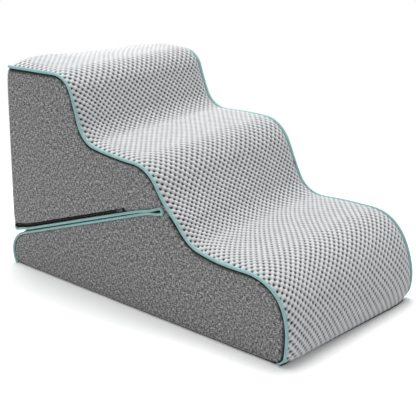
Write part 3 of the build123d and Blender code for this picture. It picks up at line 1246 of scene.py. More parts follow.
@dataclass(frozen=True)
class ZipperPart(Finish):
    """Black zipper hardware: dyed nylon monofilament or spray-painted zinc casting.

    The paint has a soft gloss and is rubbed a little paler in places. The nylon is as
    smooth, but its packed rows of small teeth look matt as a whole.
    """

    colour: str = "17181A"
    rubbed: str = "3A3B3E"
    grain: float = 1.5
    roughness: float = 0.35
    coat: float = 0.0

    def surface(self, tree: Tree) -> Node:
        """Build the nodes of the finish.

        Args:
            tree: The material's nodes.

        Returns:
            The shader that goes to the output.
        """
        place = add(tree, "TexCoord").outputs["Object"]
        rub = add(tree, "TexNoise", {"Vector": place, "Scale": 1 / (self.grain * MM), "Detail": 4.0})
        share = add(tree, "MapRange", {"Value": rub, "From Min": 0.5, "From Max": 0.8})
        colours = {0: share, 6: linear(self.colour), 7: linear(self.rubbed)}
        colour = add(tree, "Mix", colours, data_type="RGBA")
        gloss = add(tree, "MapRange", {"Value": rub, "To Min": self.roughness, "To Max": 0.6})
        bump = add(tree, "Bump", {"Height": rub, "Strength": 0.1, "Distance": 0.05 * MM})
        look = {"Base Color": colour.outputs[2], "Normal": bump, "Roughness": gloss}
        return add(tree, "BsdfPrincipled", look | {"Coat Weight": self.coat})


KNIT = SpacerKnit()
MELANGE = MelangeCloth()
PIPING_CLOTH = WovenTrim("bias_cut_polyester_piping")
NON_SLIP = WovenTrim(
    "dotted_non_slip_cloth", colour="1D1E20", shade="121314", thread=2.4, roughness=0.7, sheen=0.0
)
TAPE_CLOTH = WovenTrim(
    "woven_zipper_tape", colour="070708", shade="030303", thread=0.6, roughness=0.95, sheen=0.0
)
FOAM = CellFoam()
NYLON = ZipperPart("dyed_nylon_coil", "050506", "0B0C0D", roughness=0.85)
ZINC = ZipperPart("painted_zinc_casting", coat=0.3)


# The padded cover


@dataclass(frozen=True)
class Swell:
    """A soft lengthwise fold of the knit, as wide as it is given and centred at an X."""

    at: float
    width: float
    height: float


@dataclass
class KnitCover:
    """The quilted spacer-knit panel over all three steps, in one piece.

    Near the rear end of the top tread it swells where the foam is loose in it, and its
    puffs are squashed flatter.
    """

    columns: int = 56
    row: float = 6.6
    half_width: float = 194.5
    rear: float = float(PROFILE.rear_wall(432.0)) - 1.0
    edge_level: float = -2.5
    crown: float = 8.0
    crown_reach: float = 9.0
    rear_round: float = 22.0
    foot_round: float = 12.0
    foot_level: float = 0.6
    puff: float = 2.6
    hole_depth: float = 1.9
    edge_calm: float = 7.0
    hem: float = 5.0
    blend: float = 12.0
    swells: tuple[Swell, ...] = (Swell(-120.0, 70.0, 8.5), Swell(105.0, 62.0, -2.0))
    swell_run: float = 150.0
    swell_edge: float = 25.0
    rear_calm: float = 0.35
    fineness: float = 0.25
    track: Track = field(init=False)

    def __post_init__(self) -> None:
        """Trace the side-view line finely enough to lay the knit on it."""
        self.track = Track.of(PROFILE.stretches(self.rear), self.fineness)

    def level(self, along: Points, across: Points) -> Points:
        """Height of the knit over the piping's line.

        Args:
            along: Distances along the steps.
            across: Places across the width.

        Returns:
            Heights in millimetres.
        """
        side = np.maximum(self.half_width - np.abs(across), 0)
        crown = (self.crown - self.edge_level) * (1 - np.exp(-side / self.crown_reach))
        back = np.clip((self.track.length - along) / self.rear_round, 0, 1)
        foot = np.clip(along / self.foot_round, 0, 1)
        low = self.foot_level + (1 - self.foot_level) * np.sqrt(1 - (1 - foot) ** 2)
        round_off = np.sqrt(1 - (1 - back) ** 2) * low
        wave = LATTICE.wave(*LATTICE.knitted(along, across))
        relief = self.puff / 3 - self.hole_depth * ease(wave) - self.puff * (wave + 1) / 2
        calm = ease(side / self.edge_calm) * ease(back * 2)
        rear = ease(1 - (self.track.length - along) / self.swell_run)
        folds = [one.height * np.exp(-(((across - one.at) / one.width) ** 2)) for one in self.swells]
        crown += sum(folds) * rear * ease(side / self.swell_edge)
        return self.edge_level + crown * round_off + relief * calm * (1 - self.rear_calm * rear)

    def build(self) -> Piece:
        """Returns:
            The panel.
        """
        piece = Bench.edge_row("knit_step_cover", self.columns, 2 * self.half_width)
        Bench.sweep(piece, PROFILE.stretches(self.rear), self.row)
        Bench.clear()
        points = Bench.points(piece)
        rows, row_of = np.unique(np.round(points[:, 1:], 2), axis=0, return_inverse=True)
        runs = np.array([self.track.run_near(tuple(place)) for place in rows])
        Bench.lay_cloth(piece, runs[row_of.ravel()], points[:, 0])
        halvings = {"subdivision_type": "SIMPLE", "levels": 2, "render_levels": 2}
        Bench.modify(piece, "SUBSURF", uv_smooth="NONE", **halvings)
        along, across = Bench.cloth_places(piece)
        place, out = self.track.at(along)
        place = place + out * self.level(along, across)[:, None]
        points = FIT.settle(np.column_stack([across, place]))
        points[:, 2] = np.maximum(points[:, 2], 0)
        Bench.place(piece, points)
        self.close_underside(piece)
        Bench.lay_cloth(piece, *LATTICE.knitted(*Bench.cloth_places(piece)))
        Bench.face_outwards(piece, 80)
        KNIT.dress(piece)
        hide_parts("lower_mesh_cover", "upper_mesh_cover")
        bend_at_fold(piece, self.blend)
        return piece

    def close_underside(self, piece: Piece) -> None:
        """Turn the rim in and close the panel's back over the foam.

        Args:
            piece: The panel, with its face formed.
        """
        Bench.edit(piece, "EDGE")
        bpy.ops.mesh.select_all(action="DESELECT")
        bpy.ops.mesh.select_non_manifold()
        bpy.ops.mesh.extrude_edges_move()
        Bench.clear()
        rim = Bench.chosen(piece)
        along, across = Bench.cloth_places(piece)
        points = Bench.points(piece)
        place, out = self.track.at(along)
        inner = FIT.settle(np.column_stack([across, place - out * self.hem]))
        points[rim] = inner[rim]
        Bench.place(piece, points)
        Bench.pick(piece, rim & (np.abs(across) > self.half_width - 0.01), edges=True)
        bpy.ops.mesh.bridge_edge_loops(type="PAIRS")
        Bench.close_holes()


def bend_at_fold(piece: Piece, spread: float, under: float = 0.0) -> None:
    """Bake into its mesh the placement of a piece that spans both blocks.

    The band about the fold's axis is worked out, but the piece is not bent there.

    Args:
        piece: The finished piece.
        spread: Distance on each side of its middle that the band spans.
        under: Distance of its middle under the slit.
    """
    low, high = SLIT.place(0, -under - spread) * MM, SLIT.place(0, -under + spread) * MM
    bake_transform(piece)


# Piping


@dataclass
class Piping:
    """Teal piping: round cord in bias-cut cloth, sewn into the seams."""

    x: float = 197.0
    radius: float = 3.0
    slit_radius: float = 2.6
    loop_swell: float = 0.5
    rear_tuck: float = 5.5
    tuck_run: float = 35.0
    far_sink: float = 2.6
    far_start: float = 170.0
    far_run: float = 50.0
    foot_angles: Pair = (1.0, 1.4)
    past_floor: float = 4.0
    blend: float = 12.0
    loop_blend: float = 2.0
    rear: float = PROFILE.top_rear + 2.0
    spacing: float = 5.0
    wrap_spacing: float = 3.0
    loop_spacing: float = 1.2
    facets: int = 16

    def ring(self, name: str, x: float, rotation: Triple) -> Piece:
        """A ring of the piping's size, open in edit mode with all of it selected.

        Args:
            name: The piece's name.
            x: Place across the width.
            rotation: How it is turned about X, Y and Z.

        Returns:
            The ring.
        """
        Bench.clear()
        bpy.ops.mesh.primitive_circle_add(
            vertices=self.facets, radius=self.radius * MM, location=(x * MM, 0, 0), rotation=rotation
        )
        bpy.ops.object.transform_apply(location=True, rotation=True, scale=True)
        piece = Bench.name(bpy.context.object, name)
        Bench.edit_whole(piece)
        return piece

    def tube(self, name: str, stretches: Stretches, x: float) -> Piece:
        """A tube along a side-view line, with its ends closed.

        Args:
            name: The piece's name.
            stretches: The line's bends and runs, end to end.
            x: Place across the width.

        Returns:
            The tube.
        """
        line = stretches[0].trace(1.0)[0]
        along = line[1] - line[0]
        piece = self.ring(name, x, (math.atan2(along[1], along[0]) - math.pi / 2, 0, 0))
        Bench.sweep(piece, stretches, self.spacing)
        bpy.ops.mesh.select_all(action="SELECT")
        bpy.ops.mesh.remove_doubles(threshold=0.01 * MM)
        Bench.close_holes()
        return piece

    def finish(self, piece: Piece) -> None:
        """Smooth and dress a tube.

        Args:
            piece: The tube.
        """
        Bench.face_outwards(piece, 60)
        PIPING_CLOTH.dress(piece)

    def build_edge(self, side: Side) -> Piece:
        """The piping along the steps' edge on one side.

        It starts a little above the floor, and on the right it sinks towards the rear.

        Args:
            side: The side.

        Returns:
            The piping.
        """
        stretches = PROFILE.stretches(self.rear)
        foot = stretches[0]
        left, right = self.foot_angles
        above = left if side is Side.LEFT else right
        stretches[0] = Bend(foot.centre, foot.radius, foot.start - above, foot.sweep + above)
        piece = self.tube(f"edge_piping_{side.word}", stretches, side.value * self.x)
        points = FIT.settle(Bench.points(piece))
        if side is Side.RIGHT:
            points[:, 2] -= self.far_sink * ease((points[:, 1] - self.far_start) / self.far_run)
        Bench.place(piece, points)
        Bench.trim_at_floor(piece)
        self.finish(piece)
        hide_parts(f"lower_edge_piping_{side.word}", f"upper_edge_piping_{side.word}")
        bend_at_fold(piece, self.blend)
        return piece

    def slit_runs(self, end: Points) -> list[Bend | Run]:
        """Short runs from the loop under the slit until it is straight, and one to an end.

        Args:
            end: Where the last one ends.

        Returns:
            The runs.
        """
        backs = SLIT.loop_back + SLIT.sag_reach * np.linspace(0, 1.5, 16)
        places = [*SLIT.place(backs, -SLIT.lower_depth(backs)), end]
        return [Run(tuple(a), tuple(b)) for a, b in zip(places, places[1:])]

    def build_lower_slit(self, side: Side) -> Piece:
        """The lower block's piping down the slope and round its rear nose to the floor.

        Args:
            side: The side.

        Returns:
            The piping.
        """
        nose = SLIT.rear_nose(SLIT.nose_radius, SLIT.nose_radius, past=self.past_floor)
        stretches = [*self.slit_runs(nose.trace(1.0)[0][0]), nose]
        piece = self.tube(f"lower_slit_piping_cord_{side.word}", stretches, side.value * self.x)
        Bench.trim_at_floor(piece)
        self.finish(piece)
        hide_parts(f"lower_slit_piping_{side.word}")
        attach(piece, "lower_block")
        return piece

    def build_tip(self, side: Side) -> Piece:
        """The hairpin where the two slit pipings meet.

        Args:
            side: The side.

        Returns:
            The hairpin.
        """
        sag = float(SLIT.sag(SLIT.loop_back))
        centre = tuple(SLIT.place(SLIT.loop_back, -sag))
        hairpin = Bend(centre, SLIT.loop_radius, 270 - SLIT.slope, -180)
        piping = replace(self, spacing=self.loop_spacing, radius=self.radius + self.loop_swell)
        piece = piping.tube(f"slit_loop_{side.word}", [hairpin], side.value * self.x)
        self.finish(piece)
        bend_at_fold(piece, self.loop_blend, sag)
        return piece

    def build_upper_slit(self) -> Piece:
        """The upper block's piping, along the left, the rear and the right.

        Returns:
            The piping.
        """
        start = SLIT.place(SLIT.loop_back, SLIT.loop_radius)
        edge = BlockEdge(self.x - BLOCK_HALF, float(start[0]), SLIT.pipe_lift)
        piece = self.ring("upper_slit_piping_cord", 0, (0, math.pi / 2, 0))
        steps = round(edge.track.length / self.wrap_spacing)
        step = edge.track.length / steps * MM
        bpy.ops.mesh.extrude_repeat(steps=steps, offset=(step, 0, 0))
        Bench.close_holes()
        edge.wrap(piece, SLIT.loop_height)
        points = Bench.points(piece)
        points[:, 1] -= self.rear_tuck * ease((points[:, 1] - SLIT.nose_centre[0]) / self.tuck_run)
        Bench.place(piece, points)
        self.finish(piece)
        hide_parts("upper_slit_piping")
        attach(piece, "upper_block")
        return piece

    def build(self) -> list[Piece]:
        """Make all the piping, which is thinner along the slit.

        Returns:
            The pieces.
        """
        thin = replace(self, radius=self.slit_radius)
        made = [thin.build_upper_slit()]
        for side in Side:
            made += [self.build_edge(side), thin.build_lower_slit(side), thin.build_tip(side)]
        return made


@dataclass
class BlockEdge:
    """The line round the upper block's lower edge: left side, rear and right side.

    Pieces that run round it are made straight along X, with Y outwards and Z up from the
    slit, and then wrapped.
    """

    proud: float = 0.0
    start: float = 0.0
    up: float = 0.0
    half_width: float = BLOCK_HALF
    corner: float = PROFILE.rear_corner
    track: Track = field(init=False)

    def __post_init__(self) -> None:
        """Trace the line in plan."""
        wall = float(SLIT.rear_end(self.up)[0])
        half, rear = self.half_width + self.proud, wall + self.proud
        corner, centre = self.corner + self.proud, wall - self.corner
        inner = half - corner
        stretches = [
            Run((-half, self.start), (-half, centre)),
            Bend((-inner, centre), corner, 180, -90),
            Run((-inner, rear), (inner, rear)),
            Bend((inner, centre), corner, 90, -90),
            Run((half, centre), (half, self.start)),
        ]
        self.track = Track.of(stretches, 1.0)

    def wrap(self, piece: Piece, lift: Callable[[Points], Points]) -> None:
        """Bend a straight piece round the block.

        Args:
            piece: A piece along X from zero, or from a distance after the line's start.
            lift: Height of the piece's middle over the slit, for distances from the axis.
        """
        points = Bench.points(piece)
        place, out = self.track.at(points[:, 0])
        plan = place + out * points[:, 1:2]
        turn = math.radians(SLIT.slope)
        back = (place[:, 1] - SLIT.axis[0]) / math.cos(turn) - SLIT.pipe_lift * math.tan(turn)
        up = points[:, 2] + lift(np.maximum(back, SLIT.loop_back))
        height = SLIT.edge_height(plan[:, 1]) + up / math.cos(turn)
        Bench.place(piece, np.column_stack([plan, height]))


# Side panels


@dataclass
class SidePanels:
    """The woven side panels of both blocks, and the neck of cloth that joins them."""

    side: Side
    face: float = BLOCK_HALF
    thickness: float = 2.0
    tuck: float = 1.0
    spacing: float = 5.0
    grid: float = 9.0
    neck_reach: float = 9.0
    neck_back: float = 32.0
    lap: float = 5.0
    zipper_back: float = 120.0
    zipper_up: float = 13.8
    seam_depth: float = 4.0
    seam_width: float = 3.2
    # Widths and fades of the painted shade next to the steps' seam and the slit, and how dark it gets
    # at the slit
    seam_dark: float = 5.6
    seam_fade: float = 1.4
    slit_seam: float = 1.7
    slit_dark: float = 2.2
    slit_fade: float = 1.5
    slit_shade: float = 0.45
    rims: tuple[float, ...] = (1.3, 1.5, 1.7, 1.4)
    tuck_height: float = 7.0
    tuck_depth: float = 5.0
    tuck_grid: float = 2.5
    bulge: float = 1.6
    bulge_reach: float = 35.0
    wave: float = 0.25
    wave_runs: tuple[float, float, float, float] = (23.0, 31.0, 27.0, 45.0)
    wave_twist: float = 1.3
    wave_edge: float = 12.0
    rear_bulge: float = 3.8
    rear_spread: float = 45.0
    seam_spacing: float = 6.0
    edge_spacing: float = 8.0
    loose_face: float = 0.4
    loose_thickness: float = 1.4
    # Width of the painted shade along the neck's seams
    loose_dark: float = 3.4
    loose_grid: float = 2.0
    loose_blend: float = 5.0
    rear: float = PROFILE.top_rear
    steps: Points = field(init=False)
    loop_low: Points = field(init=False)
    loop_high: Points = field(init=False)
    nose: Points = field(init=False)

    def __post_init__(self) -> None:
        """Trace the lines that the panels are cut to."""
        track = Track.of(PROFILE.stretches(self.rear), self.spacing)
        self.steps = track.moved(-self.tuck)
        ahead = np.arange(self.neck_back + self.seam_spacing, self.zipper_back, self.seam_spacing)
        backs = np.concatenate([[self.neck_back], ahead])
        self.loop_low = self.under_slit(backs)
        self.loop_high = SLIT.place(backs, SLIT.loop_height(backs) + self.tuck)
        radius = SLIT.nose_radius - self.tuck
        self.nose = SLIT.rear_nose(radius, radius).trace(self.spacing)[0]

    def under_slit(self, backs: Points) -> Points:
        """The lower panel's upper edge at distances back from the hinge."""
        return SLIT.place(backs, -SLIT.lower_depth(backs) - self.tuck)

    def steps_between(self, low: float = -math.inf, high: float = math.inf) -> Points:
        """The steps' line from one height over the slit to another.

        Args:
            low: The lower height, or nothing for the line's start.
            high: The upper height, or nothing for the line's end.

        Returns:
            Side-view places.
        """
        fine = Track.of(PROFILE.stretches(self.rear), self.spacing / 10).moved(-self.tuck)
        _, fine_up = SLIT.coordinates(fine)
        _, up = SLIT.coordinates(self.steps)
        places = [self.steps[(up > low + 1) & (up < high - 1)]]
        if math.isfinite(low):
            places.insert(0, fine[np.abs(fine_up - low).argmin()])
        if math.isfinite(high):
            places.append(fine[np.abs(fine_up - high).argmin()])
        return np.vstack(places)

    def lower_outline(self) -> Points:
        """Outline of the lower block's panel.

        Returns:
            Side-view places.
        """
        front = self.steps_between(high=-self.neck_reach)
        slope = self.under_slit(np.arange(self.zipper_back, SLIT.nose_top[0] - 3, self.seam_spacing))
        return np.vstack([front, self.loop_low, slope, self.nose])

    def upper_outline(self) -> Points:
        """Outline of the upper block's panel, which stops above the zipper.

        It has no points close to its rear corners, where the rims would cross.

        Returns:
            Side-view places.
        """
        top = self.steps_between(low=self.neck_reach)
        top = top[top[:, 0] < PROFILE.rear_wall(top[:, 1]) - PROFILE.rear_corner + 1]
        clear = 2 * sum(self.rims)
        last = top[-1]
        top = np.vstack([top[top[:, 0] < last[0] - clear], last])
        corner = SLIT.rear_end(self.zipper_up, PROFILE.rear_corner)
        lowest = corner[1] + float(SLIT.rise(corner[0]))
        heights = np.arange(lowest + clear, last[1] - clear, self.edge_spacing)[::-1]
        wall = PROFILE.rear_wall(heights) - PROFILE.rear_corner
        end = float(SLIT.coordinates(corner)[0])
        backs = np.append(np.arange(self.zipper_back, end - clear, self.seam_spacing), end)
        slit = SLIT.upper_edge(backs, self.zipper_up)
        rear = np.column_stack([wall, heights])
        return np.vstack([top, rear, slit[::-1], self.loop_high[::-1]])

    def neck_outline(self) -> Points:
        """Outline of the cloth between the riser's piping and the loop's tip.

        Returns:
            Side-view places.
        """
        riser = self.steps_between(-self.neck_reach - self.lap, self.neck_reach)
        backs = SLIT.loop_back + np.array([5.0, 2.5, 0.0])
        high = SLIT.place(backs, SLIT.loop_height(backs) + self.tuck)
        tip = SLIT.tip(np.arange(105, 260, 15), SLIT.loop_radius + self.tuck)
        low = self.under_slit(backs[::-1])
        lapped = self.loop_low[:1] + SLIT.place(0, -self.lap) - SLIT.place(0, 0)
        return np.vstack([riser, self.loop_high[:1], high, tip, low, self.loop_low[:1], lapped])

    def sewn_lines(self) -> list[Points]:
        """Lines where a seam draws the cloth in, that of the steps first.

        Returns:
            The lines.
        """
        slope = self.under_slit(np.arange(self.zipper_back, SLIT.nose_top[0], 2 * self.seam_spacing))
        full = np.vstack([self.loop_low, slope, self.nose])
        tip = SLIT.tip(np.arange(90, 271, 15), SLIT.loop_radius + self.tuck)
        return [self.steps, full, tip, self.loop_high]

    def seam_gaps(self, places: Points) -> tuple[Points, Points]:
        """Distances of side-view places to the steps' seam and to the other seams."""
        steps, *others = (distance_to_line(places, line) for line in self.sewn_lines())
        return steps, np.min(others, axis=0)

    def level(self, places: Points) -> Points:
        """Distance of the cloth's face from the middle plane.

        Args:
            places: Side-view places.

        Returns:
            One distance for each place.
        """
        steps, slit = self.seam_gaps(places)
        gap = np.minimum(steps, slit)
        sewn = np.maximum(
            self.seam_depth * np.exp(-((steps / self.seam_width) ** 2)),
            self.slit_seam * np.exp(-((slit / self.slit_seam) ** 2)),
        )
        body = self.bulge * (1 - np.exp(-gap / self.bulge_reach))
        free = 1 - np.exp(-gap / self.wave_edge)
        y, z = places.T
        first, bent, second, turned = self.wave_runs
        wave = self.wave * np.sin(y / first + self.wave_twist * np.sin(z / bent))
        wave = wave * np.sin(z / second + np.sin(y / turned))
        behind = np.maximum(PROFILE.rear_wall(z) - PROFILE.rear_corner - y, 0) / self.rear_spread
        rear = self.rear_bulge * (fullness(z) * free) * np.exp(-(behind**2))
        under = self.tuck_depth * np.clip(1 - z / self.tuck_height, 0, 1) ** TURN_IN_POWER
        return self.face - sewn + body + rear - under + wave * free

    def panel(self, name: str, outline: Points, grid: float, rims: Sequence[float]) -> Piece:
        """One panel of cloth, formed and dressed.

        Args:
            name: The piece's name.
            outline: Its corners in the side view.
            grid: Size of its faces.
            rims: Widths of the rings next to its edge.

        Returns:
            The panel, which rides on nothing yet.
        """
        value = self.side.value
        piece = Bench.outline(name, outline, value * self.face)
        bpy.ops.mesh.select_mode(type="FACE")
        for rim in rims:
            bpy.ops.mesh.inset(thickness=rim * MM, use_even_offset=True)
        low, high = outline.min(0), outline.max(0)
        for axis in (1, 2):
            Bench.slice(axis, low[axis - 1], high[axis - 1], grid)
        if low[1] < self.tuck_height:
            Bench.slice(2, low[1], self.tuck_height + 1, self.tuck_grid)
        Bench.clear()
        points = Bench.points(piece)
        points[:, 0] = value * self.level(points[:, 1:])
        steps, slit = self.seam_gaps(points[:, 1:])
        # Painted shade: the cloth is darkened next to the seams, where the groove beside the piping
        # is in shade
        seam_shading = 1 - ease((steps - self.seam_dark) / self.seam_fade)
        near_slit = 1 - ease((slit - self.slit_dark) / self.slit_fade)
        seam_shading = np.maximum(seam_shading, self.slit_shade * near_slit)
        layer = piece.data.attributes.new(SEAM_SHADE_SHARE, "FLOAT", "POINT")
        layer.data.foreach_set("value", seam_shading.astype(np.float32))
        Bench.lay_cloth(piece, points[:, 1], points[:, 2])
        # The small number is for a corner that lies in both seams
        share = slit / (slit + steps + 0.001)
        Bench.place(piece, points + (FIT.settle(points) - points) * share[:, None])
        Bench.turn_to(piece, (value, 0, 0))
        Bench.thicken(piece, self.thickness, 60)
        MELANGE.dress(piece)
        return piece

    def build(self) -> list[Piece]:
        """Make the lower panel, the upper panel and the neck.

        Returns:
            The three pieces.
        """
        word = self.side.word
        lower = self.panel(f"lower_side_cloth_{word}", self.lower_outline(), self.grid, self.rims)
        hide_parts(f"lower_side_panel_{word}")
        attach(lower, "lower_block")
        upper = self.panel(f"upper_side_cloth_{word}", self.upper_outline(), self.grid, self.rims)
        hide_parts(f"upper_side_panel_{word}")
        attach(upper, "upper_block")
        loose = replace(
            self,
            face=self.face - self.loose_face,
            thickness=self.loose_thickness,
            seam_dark=self.loose_dark,
        )
        neck = loose.panel(f"side_neck_{word}", self.neck_outline(), self.loose_grid, ())
        bend_at_fold(neck, self.loose_blend)
        return [lower, upper, neck]


# The other panels


@dataclass
class HiddenPanels:
    """Slope, bottom, rear wall and base of the two blocks."""

    half_width: float = 194.2
    thickness: float = 2.0
    slope_start: float = 7.0
    slope_drop: float = 0.5
    nose_settle: float = 80.0
    nose_proud: float = 0.6
    seam_least: float = 0.8
    bottom_start: float = 8.0
    bottom_lift: float = 2.3
    bottom_inset: float = 2.5
    back_low: float = 13.8
    back_top: float = 431.0
    back_faces: tuple[int, int] = (90, 40)
    back_bulges: Pair = (1.2, 5.0)
    back_bulge_edge: float = 12.0
    back_seam: Pair = (1.6, 3.0)
    base_rear: float = 356.0
    base_half: float = 192.6
    base_top: float = 2.3
    # How far the dark base reaches past the cover at the toe, where it stands in for the contact
    # shadow
    toe_proud: float = 7.5
    columns: int = 60
    row: float = 9.0
    seam_reach: float = 6.0
    wave: float = 0.2
    wave_runs: Triple = (19.0, 41.0, 23.0)
    wave_twist: float = 2.0
    wave_edge: float = 20.0
    back_wave: float = 0.3
    back_wave_run: float = 29.0
    back_wave_turns: float = 9.0

    def strip(
        self,
        name: str,
        stretches: Stretches,
        inward: Callable[[Points], Points],
        sink: Callable[[Points], Points] = np.zeros_like,
    ) -> Piece:
        """Cloth across the width along a side-view line, drawn in at its side seams.

        Args:
            name: The piece's name.
            stretches: The line.
            inward: How far the seams draw the edges in, for distances along the line.
            sink: How far all of it lies under the line there.

        Returns:
            The strip, which rides on nothing yet.
        """
        piece = Bench.edge_row(name, self.columns, 2 * self.half_width)
        Bench.sweep(piece, stretches, self.row)
        Bench.clear()
        points = Bench.points(piece)
        track = Track.of(stretches, 0.5)
        runs = np.array([track.run_near(tuple(place)) for place in points[:, 1:]])
        Bench.lay_cloth(piece, runs, points[:, 0])
        _, out = track.at(runs)
        side = self.half_width - np.abs(points[:, 0])
        first, bent, second = self.wave_runs
        wave = self.wave * np.sin(points[:, 0] / first + self.wave_twist * np.sin(runs / bent))
        wave = wave * np.sin(runs / second)
        drawn = inward(runs) * np.exp(-((side / self.seam_reach) ** 2))
        level = wave * ease(side / self.wave_edge) - drawn - sink(runs)
        points[:, 1:] += out * level[:, None]
        Bench.place(piece, points)
        return piece

    def finish(
        self, piece: Piece, facing: Triple, size: Pair, finish: Finish, body: str
    ) -> None:
        """Thicken, dress and hang one panel.

        Args:
            piece: The bare sheet.
            facing: Direction that its outside faces on the whole.
            size: Width and length that it was cut to, in millimetres. Not used.
            finish: Its material.
            body: The body that it rides on.
        """
        Bench.turn_to(piece, facing)
        Bench.thicken(piece, self.thickness, 50)
        finish.dress(piece)
        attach(piece, body)

    def build(self) -> list[Piece]:
        """Make the four panels."""
        return [self.slope(), self.bottom(), self.back(), self.base()]

    def slope(self) -> Piece:
        """Cloth on the slope and round the rear nose of the lower block.

        It stands over the piping on the slope and comes down level with it round the nose.

        Returns:
            The panel.
        """
        back, depth = SLIT.nose_top
        proud = depth - self.slope_drop
        nose = SLIT.rear_nose(SLIT.nose_radius + proud, SLIT.nose_radius, over=0.5)
        top = nose.trace(1.0)[0][0]
        front = SLIT.place(self.slope_start, -self.slope_drop)
        length = math.dist(front, top)

        def sink(run: Points) -> Points:
            """How far the cloth comes down round the nose."""
            return (proud - self.nose_proud) * ease((run - length) / self.nose_settle)

        def inward(run: Points) -> Points:
            """How far the side seams draw the cloth's edges in."""
            depths = SLIT.lower_depth(np.minimum(self.slope_start + run, back))
            return np.maximum(depths - sink(run), self.seam_least)

        piece = self.strip("slope_cloth", [Run(tuple(front), tuple(top)), nose], inward, sink)
        points = Bench.points(piece)
        points[:, 2] = np.maximum(points[:, 2], 0.2)
        Bench.place(piece, points)
        length += math.radians(-nose.sweep) * SLIT.nose_radius
        self.finish(piece, (0, 0.5, 1), (2 * self.half_width, length), MELANGE, "lower_block")
        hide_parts("lower_slope_panel")
        return piece

    def bottom(self) -> Piece:
        """Cloth under the upper block, facing the slit, which curves up at its rear.

        Returns:
            The panel.
        """
        rear = SLIT.rear_end(self.bottom_lift, self.bottom_inset)
        end = float(SLIT.coordinates(rear)[0])
        backs = np.append([self.bottom_start], np.linspace(end - SLIT.rear_reach, end, 14))
        places = [tuple(place) for place in SLIT.upper_edge(backs, self.bottom_lift)]
        runs = [Run(first, last) for first, last in zip(places, places[1:])]
        piece = self.strip("bottom_cloth", runs, np.zeros_like)
        size = (2 * self.half_width, end - self.bottom_start)
        self.finish(piece, (0, 0, 1), size, MELANGE, "upper_block")
        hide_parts("upper_bottom_panel")
        return piece

    def back(self) -> Piece:
        """Cloth of the rear wall, round both rear corners, fuller towards the top.

        Returns:
            The panel.
        """
        low, top = self.back_low, self.back_top
        corner = SLIT.rear_end(low, PROFILE.rear_corner)
        edge = BlockEdge(0.0, float(corner[0]), low)
        length = edge.track.length
        along, up = self.back_faces
        Bench.clear()
        bpy.ops.mesh.primitive_grid_add(
            x_subdivisions=along, y_subdivisions=up, size=1.0, rotation=(math.pi / 2, 0, 0)
        )
        bpy.ops.object.transform_apply(location=True, rotation=True, scale=True)
        piece = Bench.name(bpy.context.object, "back_cloth")
        points = Bench.points(piece) * MM
        run, share = (points[:, 0] + 0.5) * length, points[:, 2] + 0.5
        place, out = edge.track.at(run)
        foot = SLIT.edge_height(place[:, 1]) + low / math.cos(math.radians(SLIT.slope))
        height = foot + share * (top - foot)
        wall = float(SLIT.rear_end(low)[0])
        gap = np.minimum(share, 1 - share) * (top - foot.min())
        least, most = self.back_bulges
        full = least + (most - least) * fullness(height)
        depth, width = self.back_seam
        free = 1 - np.exp(-gap / self.back_bulge_edge)
        level = full * free - depth * np.exp(-((gap / width) ** 2))
        wave = self.back_wave * np.sin(run / self.back_wave_run)
        level += wave * np.sin(share * self.back_wave_turns) * ease(gap / self.wave_edge)
        plan = place + out * level[:, None]
        plan[:, 1] += PROFILE.rear_wall(height) - wall
        Bench.lay_cloth(piece, run, height)
        Bench.place(piece, FIT.settle(np.column_stack([plan, height])))
        self.finish(piece, (0, 1, 0), (length, top - foot.min()), MELANGE, "upper_block")
        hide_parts("upper_back_panel")
        return piece

    def base(self) -> Piece:
        """Non-slip cloth under the lower block, reaching a little past the cover's settled foot at
        the toe.

        It is the real dark base, and its edge that shows under the knit's foot also stands in
        for the contact shadow there, as a dark sheet of painted shadow.

        Returns:
            The panel.
        """
        rear, half, top = self.base_rear, self.base_half, self.base_top
        foot = float(PROFILE.stretches(PROFILE.top_rear)[0].trace(1.0)[0][0, 0])
        within = replace(self, half_width=half, thickness=top)
        piece = within.strip("base_cloth", [Run((foot, top), (rear, top))], np.zeros_like)
        points = Bench.points(piece)
        toe = FIT.settle(points * (1, 0, 0) + (0, foot, 0))[:, 1] - self.toe_proud
        points[:, 0] = FIT.settle(points * (1, 1, 0))[:, 0]
        share = (rear - points[:, 1]) / (rear - foot)
        points[:, 1] = rear + (toe - rear) * share
        points[:, 2] = top
        Bench.place(piece, points)
        within.finish(piece, (0, 0, 1), (2 * half, rear - foot), NON_SLIP, "lower_block")
        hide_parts("base_panel")
        return piece


